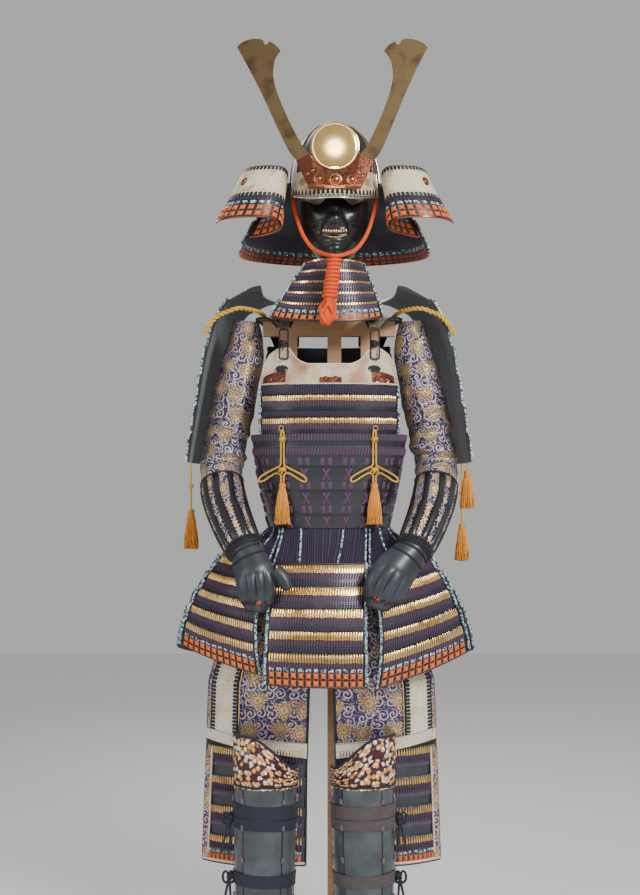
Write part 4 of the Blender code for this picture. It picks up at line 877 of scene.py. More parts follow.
# This finish is the orange cross-knot lace painted darker red, as painted shade for the inner face of the
# lames.
shaded_lace = Finish("shaded_orange_lace", (0.52, 0.065, 0.018), 0.7, 0.0, Sheen_Weight=0.2)
lint = shaded_lace.noise(shaded_lace.cut(), 900.0, 2.0)
shaded_lace.put("Base Color", shaded_lace.blend(lint, dyed(shaded_lace.colour, 0.5), dyed(shaded_lace.colour, 1.4)))
shaded_lace.raised(lint, 0.0005, 0.5)

# %% [markdown]
# ## Skirt
# Seven panels hang from the cuirass on loose upright cords. Each has four scale lames and an edge lame.

# %% Skirt surfaces
TORSO = table(
    "z half_width front back",
    (0.962, 0.128, 0.118, 0.110),
    (1.060, 0.150, 0.126, 0.120),
    (1.160, 0.166, 0.130, 0.128),
    (1.262, 0.164, 0.122, 0.128),
    (1.360, 0.150, 0.106, 0.114),
)
CUIRASS_FOOT, CUIRASS_CHEST, BREAST_FOOT, BACK_TOP = 0.962, 1.160, 1.262, 1.360
TORSO_SQUARE = 0.82
CHEST_TURN = math.radians(57)


def torso_point(turn, z):
    row = at_height(TORSO, z)
    s, c = math.sin(turn), math.cos(turn)
    x = row["half_width"] * math.copysign(abs(s) ** TORSO_SQUARE, s)
    y = -row["front" if c > 0 else "back"] * math.copysign(abs(c) ** TORSO_SQUARE, c)
    return np.array((x, y, z))


def torso_surface(start, end, top, foot):
    return lambda u, v: torso_point(mix(start, end, u), mix(top, foot, v))


SKIRT = {
    "front": (
        ((-0.1180, -0.1180, 0.8860), (0.0780, -0.1190, 0.8860)),
        ((-0.1330, -0.1830, 0.6420), (0.0770, -0.1830, 0.6350)),
        0.020,
        (-46, 33),
    ),
    "front_left": (
        ((-0.2240, -0.0560, 0.9020), (-0.1240, -0.1140, 0.8900)),
        ((-0.3190, -0.0400, 0.7120), (-0.1390, -0.1620, 0.6580)),
        0.014,
        (-86, -48),
    ),
    "front_right": (
        ((0.0800, -0.1140, 0.8820), (0.2040, -0.0500, 0.9060)),
        ((0.0930, -0.1640, 0.6300), (0.3000, -0.0400, 0.6960)),
        0.014,
        (35, 86),
    ),
    "side_left": (
        ((-0.1980, 0.0860, 0.8960), (-0.2280, -0.0460, 0.9000)),
        ((-0.2700, 0.1420, 0.6680), (-0.3240, -0.0250, 0.7020)),
        0.010,
        (-134, -88),
    ),
    "side_right": (
        ((0.2100, -0.0400, 0.9000), (0.1900, 0.0860, 0.8960)),
        ((0.3080, -0.0250, 0.6960), (0.2700, 0.1420, 0.6680)),
        0.010,
        (88, 134),
    ),
    "back_left": (
        ((-0.0060, 0.1360, 0.8880), (-0.1900, 0.0980, 0.8940)),
        ((-0.0060, 0.2120, 0.6400), (-0.2520, 0.1640, 0.6600)),
        0.016,
        (-179, -136),
    ),
    "back_right": (
        ((0.1820, 0.0980, 0.8940), (0.0020, 0.1360, 0.8880)),
        ((0.2520, 0.1640, 0.6600), (0.0020, 0.2120, 0.6400)),
        0.016,
        (136, 179),
    ),
}
LACES_SHARE = 0.24


def skirt_surface(top, foot, bow, turns):
    top, foot = np.array(top), np.array(foot)
    out = (foot[0] + foot[1]) * (1, 1, 0)
    out = out / np.linalg.norm(out)
    turns = sorted(math.radians(degrees) for degrees in turns)

    def body(u, t):
        flat = mix(mix(top[0], top[1], u), mix(foot[0], foot[1], u), t)
        return flat + out * bow * (1 - (2 * u - 1) ** 2) + out * 0.018 * math.sin(math.pi * t)

    def point(u, v):
        if v > LACES_SHARE:
            return body(u, (v - LACES_SHARE) / (1 - LACES_SHARE))
        t = v / LACES_SHARE
        hung = torso_point(mix(*turns, u), CUIRASS_FOOT)
        low = body(u, 0)
        sway = t * t * (2 - t)
        z = mix(hung[2] - SEAM, low[2], t)
        return np.array((mix(hung[0], low[0], sway), mix(hung[1], low[1], sway), z))

    return point


# %% [markdown]
# Each panel is built whole, also where its neighbour covers it. The hanging cords are laces that vary a
# little in width and length, because hand tied cords never hang evenly.

# %% Skirt panels
SKIRT_LAMES = np.array([0.24, 0.376, 0.512, 0.648, 0.784, 1.0])


def skirt_panel(name, *sizes):
    piece, skin = begin(f"skirt {name}".replace("_", " "), skirt_surface(*sizes), 40, 96)
    body = skin.grid[60:]
    wide = np.linalg.norm(np.diff(body[20], axis=0), axis=1).sum()
    heads = round(wide / 0.0063)
    kinds = ["scale"] * (len(SKIRT_LAMES) - 2) + ["edge"]
    lames = list(zip(SKIRT_LAMES, SKIRT_LAMES[1:], kinds))
    base = laced(piece, skin, lames, heads, CLOTH)
    for u in (0.010, 0.990):
        edge_cord(piece, skin, u, LACES_SHARE, 0.995, base)
    hang = LACES_SHARE - 0.004
    # Behind the hanging cords a dark sheet is painted shade: it stands for the dark gap between them.
    wall(piece, skin, [0, 0.08, 0.16, hang], 0.0012, "dark_cloth", 24, lining="navy_lining")
    cords = max(12, round(wide / 0.0052))
    u = skin.even(cords)
    u[1:-1] += RNG.normal(0, 0.2 / cords, cords - 1)
    strip = lace(0.0, 0.80, 9)
    tops = RNG.uniform(0.0, 0.012, cords)
    cells = np.stack([u[:-1], u[1:], tops, hang + RNG.uniform(-0.004, 0.008, cords)], axis=1)
    lay(piece, skin, strip, cells, 0.0012, 0.0024, "purple_lace")
    for u in (0.02, 0.30, 0.70, 0.98):
        edge_cord(piece, skin, u, 0.004, hang, 0.0036, 0.0022, steps=24)
    for v, radius in ((LACES_SHARE - 0.003, 0.0022), (0.996, 0.0018)):
        across = np.linspace(0.004, 0.996, 50)
        path = skin.at(across, v, (0.0035 if v < 0.5 else CLOTH * 0.5))
        rope(piece, path, radius, "brown_edge")
    piece.done()


Finish("brown_edge", (0.045, 0.020, 0.014), 0.55)
Finish("red_lacquer", (0.22, 0.012, 0.010), 0.35)
Finish("ochre_ink", (0.42, 0.21, 0.06), 0.6)
Finish("grey_ink", (0.42, 0.40, 0.34), 0.6)
Finish("gold_thread", (0.80, 0.62, 0.38), 0.40, 0.6)
Finish("cream_piping", (0.72, 0.62, 0.46), 0.6)
leather("dotted_leather", (0.84, 0.79, 0.62), edges=(), dots=1.6)
for name, sizes in SKIRT.items():
    skirt_panel(name, *sizes)

# %% [markdown]
# ## Cuirass
# Below the chest the cuirass is black lacquered bands, joined by rows of purple cross stitches between
# pairs of short laces. Above it, two rows of scales rise to a breast plate faced with printed leather.

# %% Lower cuirass
HOOPS = [(0.145, 0.340), (0.348, 0.592), (0.600, 0.846), (0.854, 1.0)]


def stitched_hoops(piece, skin, columns, pairs):
    """Black bands with their laces. pairs are the places of the stitch columns, in metres along the band."""

    def across(metres):
        return np.interp(metres, skin.reach, np.linspace(0, 1, len(skin.reach)))

    v_rows, out = [0, 0.012, 0.13, 0.134], [PLATE + 0.0008, PLATE, PLATE, PLATE]
    for top, foot in HOOPS:
        v_rows += [top, top + 0.006, foot - 0.012, foot - 0.004]
        out += [PLATE + 0.0004, PLATE + 0.0022, PLATE + 0.0012, PLATE + 0.0004]
    v_rows[-1] = 1.0
    base = wall(piece, skin, v_rows, out, "satin_lacquer", columns, lining="lacquer")
    for top, foot, motif, finish, per in (
        (0.004, 0.072, "upright", "plum_knot", 0.0062),
        (0.136, 0.222, "slant", "plum_knot", 0.0062),
    ):
        shape, _, rise = MOTIFS[motif]
        cells = row_of(skin, round(skin.width / per), top, foot, 0.004, 0.996)
        lay(piece, skin, shape, cells, base, rise, finish)
    arch = lace(0.0, 0.90, 6)
    for (top, foot), (next_top, _) in zip(HOOPS, HOOPS[1:]):
        upper, lower = [], []
        for middle in pairs:
            for side in (-1, 1):
                ends = across(middle + side * 0.0075 + np.array((-0.0048, 0.0048)))
                upper.append((*ends, foot - 0.085, foot - 0.004))
            ends = across(middle + np.array((-0.0095, 0.0095)))
            lower.append((*ends, next_top + 0.024, next_top + 0.142))
        lay(piece, skin, arch, upper, base, 0.0020, "plum_knot")
        for lean, rise in ((0.62, 0.0022), (-0.62, 0.0036)):
            lay(piece, skin, lace(lean, 0.36, 7), lower, base, rise, "plum_knot")
    return base


satin = Finish("satin_lacquer", (0.016, 0.018, 0.024), 0.34, 0.0, Coat_Weight=0.4, Coat_Roughness=0.3)
streaks = satin.noise(satin.vector("MULTIPLY", satin.place(), (14.0, 14.0, 220.0)), 1.5, 4.0)
satin.put("Roughness", satin.scaled_sum(streaks, 0.3, 0.20))
satin.raised(streaks, 0.0003, 0.4)

QUARTER = math.pi / 2
GAP = 0.0025
front = Skin(torso_surface(-QUARTER + GAP, QUARTER - GAP, CUIRASS_CHEST, CUIRASS_FOOT), 64, 64)
behind = Skin(torso_surface(QUARTER + GAP, 3 * QUARTER - GAP, CUIRASS_CHEST, CUIRASS_FOOT), 64, 64)
for name, skin in (("cuirass_front", front), ("cuirass_back", behind)):
    piece = Piece(name.replace("_", " "))
    stitched_hoops(piece, skin, 72, skin.width * np.linspace(0.085, 0.885, 9))
    piece.done()

# %% Chest lames
LAMES["chest"] = table(
    "what top foot per",
    ("heads", 0.00, 0.40, 1),
    ("slant", 0.42, 0.76, 1),
)
LAMES["laces"] = table("what top foot per", ("upright", 0.0, 1.0, 1))


def chest_part(name, surface, lames):
    """A laced band of the chest: rows of upright laces, scales and stitches."""
    skin = Skin(surface, 56, 40)
    piece = Piece(name.replace("_", " "))
    heads = round(skin.width / 0.0054)
    base = laced(piece, skin, lames, heads, PLATE, 0.0034)
    for u in (0.006, 0.994):
        edge_cord(piece, skin, u, 0.01, 0.99, base, 0.0026)
    piece.done()


CHEST_ROWS = [(0.0, 0.19, "laces"), (0.20, 0.52, "chest"), (0.535, 0.66, "laces"), (0.67, 1.0, "chest")]
BACK_ROWS = [(0.0, 0.08, "laces"), (0.09, 0.25, "chest")]
for start in (0.25, 0.50, 0.75):
    BACK_ROWS += [(start + 0.01, start + 0.08, "laces"), (start + 0.09, start + 0.25, "chest")]
chest = torso_surface(-CHEST_TURN, CHEST_TURN, BREAST_FOOT - SEAM, CUIRASS_CHEST + SEAM)
chest_part("cuirass_chest", chest, CHEST_ROWS)
shoulders = torso_surface(math.pi - CHEST_TURN, math.pi + CHEST_TURN, BACK_TOP, CUIRASS_CHEST + SEAM)
chest_part("cuirass_shoulder_back", shoulders, BACK_ROWS)

# %% [markdown]
# ## Breast plate
# Its face is stencilled leather with a raised rim. Three little copper plates with round studs stand
# on its foot, and two oval slots in dark metal take the tied toggle cords of the shoulder straps.

# %% Breast plate
BREAST_EDGE = table(
    "share top",
    (0.00, 1.3065),
    (0.22, 1.3065),
    (0.31, 1.3123),
    (0.38, 1.3200),
    (0.45, 1.3335),
    (0.51, 1.3430),
    (0.69, 1.3410),
    (0.85, 1.3297),
    (0.96, 1.3084),
    (1.00, 1.2850),
)


def breast_point(u, v):
    share = abs(2 * u - 1)
    top = np.interp(share, [row["share"] for row in BREAST_EDGE], [row["top"] for row in BREAST_EDGE])
    return torso_point(mix(-CHEST_TURN, CHEST_TURN, u), mix(top, BREAST_FOOT, v))


def cuirass_y(x, z):
    row = at_height(TORSO, z)
    power = 2 / TORSO_SQUARE
    return -row["front"] * (1 - (abs(x) / row["half_width"]) ** power) ** (1 / power)


def on_torso(x, z, out):
    """A place on the front of the cuirass, and the direction out of it."""
    share = abs(x) / at_height(TORSO, z)["half_width"]
    y = cuirass_y(x, z)
    turn = math.asin(share ** (1 / TORSO_SQUARE)) * math.copysign(1, x)
    normal = np.array((math.sin(turn) ** 3 * 0.8 + 0.2 * math.sin(turn), -1.0, 0.0))
    normal /= np.linalg.norm(normal)
    return np.array((x, y, z)) + normal * out, normal


def stud(piece, place, axis, radius, rise, finish, ring=0.0):
    """A domed rivet, with a collar round it where ring is given."""
    head = [(radius * math.cos(a), rise * math.sin(a)) for a in np.linspace(0, math.pi / 2, 6)]
    turned(piece, head, place, axis, finish, 16)
    if ring:
        profile = [(ring, 0), (ring, 0.0006), (ring * 0.93, 0.0011), (radius, 0.0008), (radius, 0)]
        turned(piece, profile, place, axis, finish, 24)


BREAST_THICK = 0.0045
piece, skin = begin("breast plate", breast_point, 96, 24)
v_rows = [0, 0.03, 0.10, 0.14, 0.92, 0.95, 1.0]
rises = [0.0002, 0.0012, 0.0012, 0.0, 0.0, 0.0009, 0.0009]
wall(piece, skin, v_rows, [BREAST_THICK + r for r in rises], "breast_leather", 96, lining="dark_cloth")
for v, radius in ((0.035, 0.0012), (0.965, 0.0012)):
    across = np.linspace(0.004, 0.996, 120)
    rope(piece, skin.at(across, v, BREAST_THICK + 0.0009), radius, "pale_rim")
for left, right in ((-0.1330, -0.0880), (-0.0200, 0.0250), (0.0860, 0.1310)):
    ends = np.interp([left, right], skin.grid[12, :, 0], np.linspace(0, 1, 97))
    u = np.linspace(*ends, 12)
    v = np.array([0.66, 0.68, 0.93, 0.95])
    uu, vv = np.meshgrid(u, v)
    rise = np.where((vv > 0.67) & (vv < 0.94), 0.0016, 0.0) + BREAST_THICK
    lip = 0.0004 * np.cos(np.clip((uu - ends[0]) / (ends[1] - ends[0]), 0, 1) * 4 * math.pi)
    points = skin.at(uu, vv, rise + lip)
    piece.add(points.reshape(-1, 3), grid_faces(4, 12), "engraved_copper")
    for share in (0.27, 0.73):
        place, axis = on_torso(mix(left, right, share), 1.2735, BREAST_THICK + 0.0016)
        stud(piece, place, axis, 0.0042, 0.0030, "copper", ring=0.0062)
for x in (-0.0985, 0.0930):
    place, axis = on_torso(x, 1.2960, BREAST_THICK)
    across = np.cross((0, 0, 1), axis)
    ring = oval(place + axis * 0.0008, across * 0.0125, np.array((0, 0, 0.0060)), 32)
    rope(piece, ring, 0.0020, "lacquer", cyclic=True)
    # The dark face inside each ring is painted shade: it stands for the dark opening of the slot.
    slot = oval(place + axis * 0.0016, across * 0.0115, np.array((0, 0, 0.0050)))
    piece.add(slot, [list(range(24))[::-1]], "dark_cloth")
piece.done()

# %% [markdown]
# ## Helmet
# The bowl is made of narrow iron plates whose edges stand up as ribs, each rib rimmed with a thin gold
# line. A printed leather visor hangs over the brow, and a copper base carries two brass horns and a
# gilt disc. The neck guard is five laced lames, whose front ends turn back in two leather wings.

# %% Helmet bowl and crown ring
BOWL_RIM, BOWL_HEIGHT, CROWN_HOLE, BOWL_RIBS = 1.700, 0.131, 0.12, 16
BOWL_HALF_WIDTH, BOWL_HALF_DEPTH = 0.093, 0.116


def bowl_point(u, v):
    turn = 2 * math.pi * u + math.pi
    fall = mix(CROWN_HOLE, 1.0, v) * math.pi / 2
    spread = math.sin(fall) ** 0.94
    x = HEAD_X + BOWL_HALF_WIDTH * spread * math.sin(turn)
    y = -BOWL_HALF_DEPTH * spread * math.cos(turn)
    return np.array((x, y, BOWL_RIM + BOWL_HEIGHT * math.cos(fall)))


def ribs(u, v):
    """A rib at the middle of each plate of the bowl, fading at the crown."""
    across = np.abs((u * BOWL_RIBS) % 1.0 - 0.5) * 2
    return (0.0004 + 0.0022 * np.clip(1 - across / 0.34, 0, 1) ** 0.7) * np.clip(v * 6, 0.2, 1)


piece, skin = begin("helmet bowl", bowl_point, 96, 40)
wall(
    piece,
    skin,
    24,
    PLATE,
    "lacquer",
    lift=ribs,
    closed=True,
    u_rows=np.linspace(0, 1, BOWL_RIBS * 10 + 1),
)
v = np.linspace(0.04, 0.995, 30)
for k in range(BOWL_RIBS):
    u = (k + 0.5) / BOWL_RIBS
    rope(piece, skin.at(u, v, PLATE + 0.0026 * np.clip(v * 6, 0.2, 1)), 0.0006, "gold_leaf", sides=6)
u = np.linspace(0, 1, 120)
rope(piece, skin.at(u, 0.985, PLATE + 0.0006), 0.0014, "brass")
piece.done(sharp=50)

piece = Piece("crown ring")
seat = BOWL_RIM + BOWL_HEIGHT * math.cos(CROWN_HOLE * math.pi / 2) + PLATE + 0.0023
RINGS = table(
    "radius low high petals wavy",
    (0.0220, 0.0000, 0.0022, 16, 0.05),
    (0.0150, 0.0018, 0.0040, 12, 0.05),
    (0.0095, 0.0036, 0.0062, 0, 0.0),
)
for row in RINGS:
    low, high = row["low"], row["high"]
    steps = ((0.45, low), (1.0, low), (1.0, mix(low, high, 0.6)), (0.9, high), (0.45, high))
    profile = [(row["radius"] * share, height) for share, height in steps]
    turned(piece, profile, (HEAD_X, 0, seat), (0, 0, 1), "gilt", 64, row["wavy"], row["petals"])
piece.done()

# %% [markdown]
# ### Visor
# The visor is sheet iron covered with stencilled leather and bound in silver. Its blossoms and black
# teeth are thin raised patches, because a patch stays sharp where a painted texture would blur.

# %% Visor
LEATHER = 0.0024
VISOR_TURN = math.radians(64)


def visor_point(u, v):
    turn = mix(-VISOR_TURN, VISOR_TURN, u)
    reach = ease((math.cos(turn) - math.cos(VISOR_TURN)) / (1 - math.cos(VISOR_TURN)))
    x = (BOWL_HALF_WIDTH + 0.0047 + 0.004 * v) * math.sin(turn)
    y = -(BOWL_HALF_DEPTH + 0.0047 + v * mix(0.002, 0.040, reach)) * math.cos(turn)
    return np.array((HEAD_X + x, y, BOWL_RIM + 0.015 - v * mix(0.050, 0.0700, reach)))


def scallop():
    """A black tooth that narrows towards its top."""
    s, t, h, faces = patch(7, 6, lambda s, t: dome(s, 6))
    return 0.5 + (s - 0.5) * (0.25 + 0.75 * t**0.6), t, h, faces


def rosette(points):
    """A round printed blossom: a raised ring, eight petals and a middle."""
    s, t, h, faces = patch(points, points, lambda s, t: 0 * s)
    x, y = 2 * s - 1, 2 * t - 1
    square = np.maximum(np.abs(x), np.abs(y))
    size = np.maximum(np.hypot(x, y), 1e-6)
    x, y = x * square / size, y * square / size
    angle, reach = np.arctan2(y, x), np.hypot(x, y)
    petals = np.clip(np.cos(8 * angle) * 0.5 + 0.6, 0, 1) * np.exp(-(((reach - 0.55) / 0.2) ** 2))
    h = 0.25 + petals + 0.8 * np.exp(-((reach / 0.18) ** 2)) + 0.7 * np.exp(-(((reach - 0.9) / 0.07) ** 2))
    return 0.5 + 0.5 * x, 0.5 + 0.5 * y, h * (reach < 0.99), faces


piece, skin = begin("helmet visor", visor_point, 64, 24)
v_rows = [0, 0.02, 0.5, 0.93, 0.97, 1.0]
rises = [0.0022, LEATHER, LEATHER, LEATHER, 0.0022, 0.0020]
wall(piece, skin, v_rows, rises, "visor_leather", 64, lining="red_lacquer")
ends = np.linspace(0.03, 0.97, 23)
teeth = [(mix(a, b, 0.10), mix(a, b, 0.90), 0.70, 0.88) for a, b in zip(ends, ends[1:])]
lay(piece, skin, scallop(), teeth, LEATHER, 0.0008, "lacquer")
rope(piece, skin.hem(0.004, (0.0, 0.98), 16, 0.012, 0.985, 90, 0.0012), 0.0022, "silver", sides=10)
rope(piece, skin.across(0.935, 0.0026, 90, 0.02), 0.0007, "silver")
BLOSSOMS = table(
    "places v radius rise ink",
    ((0.175, 0.825), 0.40, 0.0130, 0.0008, "grey_ink"),
    ((0.175, 0.825), 0.40, 0.0112, 0.0012, "ochre_ink"),
    ((0.175, 0.825), 0.40, 0.0058, 0.0018, "grey_ink"),
    ((0.175, 0.825), 0.40, 0.0040, 0.0022, "ochre_ink"),
    ((0.07, 0.30, 0.70, 0.93), 0.45, 0.0060, 0.0004, "grey_ink"),
)
for row in BLOSSOMS:
    cells = [skin.around(u, row["v"], row["radius"], row["radius"]) for u in row["places"]]
    lay(piece, skin, rosette(19), cells, LEATHER, row["rise"], row["ink"])
piece.done()

# %% [markdown]
# ### Crest
# The crest base, the horns and the disc are cut from sheet metal. An outline of corners, rounded by
# cutting them off twice, is easier to change than a modelled mesh.

# %% Crest base, horns and disc
CREST_HALF, CREST_FOOT_HALF, CREST_FOOT = 0.080, 0.0535, 1.6650
HORN_FOOT_X, HORN_FOOT_Z, CREST_CORNER_Z = 0.0530, 1.7380, 1.7235
DISC_Z, DISC_RADIUS = 1.7545, 0.0500


def crest_y(x):
    return -0.1524 + 0.8 * x * x


def crest_point(u, v):
    across = abs(2 * u - 1)
    reach = CREST_HALF * across
    if reach < HORN_FOOT_X:
        top = min(DISC_Z - 0.048 * math.sqrt(1 - (reach / 0.0545) ** 2), HORN_FOOT_Z)
    else:
        top = mix(HORN_FOOT_Z, CREST_CORNER_Z, (reach - HORN_FOOT_X) / (CREST_HALF - HORN_FOOT_X))
    x = math.copysign(mix(reach, CREST_FOOT_HALF * across, v), 2 * u - 1)
    return np.array((HEAD_X + x, crest_y(x), mix(top, CREST_FOOT, v)))


CREST_THICK = 0.0025
piece, skin = begin("crest base", crest_point, 96, 24)
rises = CREST_THICK + np.array([-0.0004, 0.0, 0.0, 0.0006, 0.0006, 0.0])
wall(piece, skin, [0, 0.03, 0.8, 0.82, 0.97, 1.0], rises, "engraved_copper", 96)
across = np.linspace(0.17, 0.83, 80)
rope(piece, skin.at(across, 0.03, CREST_THICK), 0.0014, "copper")
wide_u = np.linspace(0.01, 0.99, 60)
uu, vv = np.meshgrid(wide_u, np.array([0.815, 0.83, 0.97, 0.985]))
band_rise = CREST_THICK + 0.0003 + 0.0006 * ((vv > 0.82) & (vv < 0.98))
piece.add(skin.at(uu, vv, band_rise).reshape(-1, 3), grid_faces(4, 60), "copper")
RIVETS = table(
    "x z radius",
    (0.0000, 1.6842, 0.0095),
    (-0.0345, 1.6858, 0.0070),
    (0.0345, 1.6842, 0.0070),
    (-0.0470, 1.7030, 0.0040),
    (-0.0570, 1.6965, 0.0040),
    (0.0480, 1.6985, 0.0040),
    (0.0560, 1.6915, 0.0040),
)
for row in RIVETS:
    place = (HEAD_X + row["x"], crest_y(row["x"]) - CREST_THICK, row["z"])
    axis = np.array((1.6 * row["x"], -1.0, 0.0))
    ring = row["radius"] * 1.5 if row["radius"] > 0.005 else 0
    stud(piece, place, axis, row["radius"], row["radius"] * 0.5, "copper", ring=ring)
piece.done()

HORN_OUTLINE = [
    (0.0525, 1.7388), (0.0535, 1.7383), (0.0790, 1.7246), (0.0800, 1.7241), (0.0806, 1.7250),
    (0.0968, 1.7440), (0.1232, 1.8000), (0.1525, 1.8640), (0.1818, 1.9211), (0.1940, 1.9420),
    (0.2026, 1.9580), (0.2032, 1.9590), (0.2024, 1.9598), (0.1960, 1.9670), (0.1870, 1.9720),
    (0.1720, 1.9765), (0.1560, 1.9765), (0.1480, 1.9730), (0.1470, 1.9660), (0.1430, 1.9640),
    (0.1390, 1.9660), (0.1380, 1.9710), (0.1320, 1.9695), (0.1220, 1.9630), (0.1134, 1.9524),
    (0.1126, 1.9515), (0.1133, 1.9506), (0.1205, 1.9415), (0.1258, 1.9290), (0.1285, 1.9066),
    (0.1258, 1.8840), (0.1175, 1.8577), (0.0945, 1.8041), (0.0650, 1.7500), (0.0530, 1.7397),
]
HORN_LEAN = {-1: 0.0, 1: 0.052}


def rounded(outline, cuts=2):
    """Cut the corners of a closed outline again and again, which rounds it."""
    points = np.array(outline)
    for _ in range(cuts):
        after = np.roll(points, -1, axis=0)
        near, far = mix(points, after, 0.22), mix(points, after, 0.78)
        points = np.stack([near, far], axis=1).reshape(-1, 2)
    return points


def flat_plate(piece, outline, front, back, finish, bevel=0.0006):
    """A flat plate with an upright outline and slightly rounded edges."""
    count = len(outline)
    after, before = np.roll(outline, -1, axis=0), np.roll(outline, 1, axis=0)
    run = after - before
    out = np.stack([run[:, 1], -run[:, 0]], axis=1) / np.linalg.norm(run, axis=1, keepdims=True)
    area = (outline[:, 0] * after[:, 1] - after[:, 0] * outline[:, 1]).sum()
    out = out * math.copysign(1, area)
    if area < 0:
        outline, out = outline[::-1], out[::-1]
    rings = []
    for y, shrink in ((front, bevel), (mix(front, back, 0.3), 0), (mix(front, back, 0.7), 0), (back, bevel)):
        flat = outline - out * shrink
        rings.append(np.stack([flat[:, 0], np.full(count, y), flat[:, 1]], axis=1))
    points = np.concatenate(rings)
    a = np.arange(count)
    b = np.roll(a, -1)
    ring = np.stack([a, a + count, b + count, b], axis=1)
    piece.add(points, np.concatenate([ring + k * count for k in range(3)]), finish)
    piece.add(rings[0], [list(range(count))], finish)
    piece.add(rings[-1], [list(range(count))[::-1]], finish)


for side, label in SIDES:
    piece = Piece(f"crest horn {label}")
    leaning = [(x - HORN_LEAN[side] * (z - HORN_FOOT_Z), z) for x, z in HORN_OUTLINE]
    outline = np.array([(HEAD_X + side * x, z) for x, z in leaning])
    foot = crest_y(0.0665) - 0.00125
    flat_plate(piece, rounded(outline), foot - 0.00125, foot + 0.00125, "brass", bevel=0.00005)
    piece.done(sharp=30)

piece = Piece("crest disc")
back = crest_y(DISC_RADIUS) + SEAM
profile = [(0.0004, -0.002), (0.0496, -0.002), (0.0500, -0.0014)]
profile += [(0.0500, -0.0004), (0.0488, 0.0), (0.0460, 0.0)]
profile += [(0.0452 * math.cos(a), 0.0030 * math.sin(a) ** 1.4) for a in np.linspace(0, 1.565, 14)]
turned(piece, profile, (HEAD_X, back, DISC_Z), (0, -1, 0), "gilt", 96)
corners = ((-0.013, 1.712), (0.013, 1.712), (0.013, 1.687), (-0.013, 1.687))
stem = rounded([(HEAD_X + x, z) for x, z in corners], 1)
flat_plate(piece, stem, crest_y(0) + 0.0006, crest_y(0) + 0.0024, "gilt")
piece.done()

# %% Neck guard
NECK_GUARD_OPEN = math.radians(78)
NECK_GUARD = table(
    "z half_width depth",
    (1.6997, 0.0935, 0.1165),
    (1.6650, 0.132, 0.141),
    (1.6320, 0.159, 0.159),
    (1.5940, 0.184, 0.177),
    (1.5500, 0.204, 0.193),
)


def neck_guard_point(u, v):
    turn = mix(NECK_GUARD_OPEN, 2 * math.pi - NECK_GUARD_OPEN, u)
    row = along(NECK_GUARD, v)
    lift = 0.006 * v * ease(-math.cos(turn))
    x = HEAD_X + row["half_width"] * math.sin(turn)
    return np.array((x, -row["depth"] * math.cos(turn), row["z"] + lift))


piece, skin = begin("neck guard", neck_guard_point, 96, 48)
lames = [(k / 5, (k + 1) / 5, "scale") for k in range(5)]
base = laced(piece, skin, lames, 92, PLATE, 0.0036, lining="slate")
for u in (0.006, 0.994):
    edge_cord(piece, skin, u, 0.02, 0.99, base, 0.0026)
# Inside, the lowest lame shows the knots and cross-knots again; the cross-knots take the darker red finish,
# which is painted shade.
INSIDE = table(
    "what top foot count",
    ("knots", 0.835, 0.875, 38),
    ("dark_blocks", 0.880, 0.932, 38),
    ("dark_blocks", 0.936, 0.990, 38),
    ("upright", 0.620, 0.790, 110),
)
for row in INSIDE:
    motif, finish, rise = MOTIFS[row["what"]]
    cells = row_of(skin, row["count"], row["top"], row["foot"], 0.01, 0.99)
    lay(piece, skin, motif, cells, 0, -0.6 * rise, finish)
across = np.linspace(0.003, 0.997, 160)
rope(piece, skin.at(across, 0.996, 0.0015), 0.0024, "copper")
piece.done()

# %% [markdown]
# ### Turnbacks
# The front ends of the two upper lames are bent outwards. Seen from above they follow one plan curve,
# so one surface makes both, and the side and the heights are its only choices.

# %% Turnbacks
TURNBACK_PLAN = table(
    "x y",
    (0.1330, -0.0400),
    (0.1170, -0.0640),
    (0.1020, -0.0880),
    (0.1020, -0.1060),
    (0.1170, -0.1200),
    (0.1420, -0.1240),
    (0.1680, -0.1150),
    (0.1840, -0.0930),
    (0.1930, -0.0660),
)
TURNBACK_EDGES = {
    "brow": (1.6880, 1.7190, 0.000),
    "upper_foot": (1.6325, 1.6545, 0.033),
    "lower_head": (1.6319, 1.6539, 0.033),
    "lower_foot": (1.5855, 1.6095, 0.058),
}


def neck_guard_edge(z):
    row = at_height(NECK_GUARD, z)
    return row["half_width"] * math.sin(NECK_GUARD_OPEN), -row["depth"] * math.cos(NECK_GUARD_OPEN)


def turnback_surface(side, top_name, foot_name):
    top, foot = TURNBACK_EDGES[top_name], TURNBACK_EDGES[foot_name]

    def point(u, v):
        t = 1 - u if side < 0 else u
        row = along(TURNBACK_PLAN, t)
        grow = ease((t - 0.05) / 0.45)
        z = mix(mix(top[0], top[1], grow), mix(foot[0], foot[1], grow), v)
        flare = mix(top[2], foot[2], v)
        x = row["x"] + flare * mix(0.16, 1.0, ease((t - 0.1) / 0.9))
        y = row["y"] - flare * 0.30 * math.sin(math.pi * t)
        root_x, root_y = neck_guard_edge(z)
        free = ease(t / 0.22)
        return np.array((HEAD_X + side * mix(root_x, x, free), mix(root_y - 3 * SEAM, y, free), z))

    return point


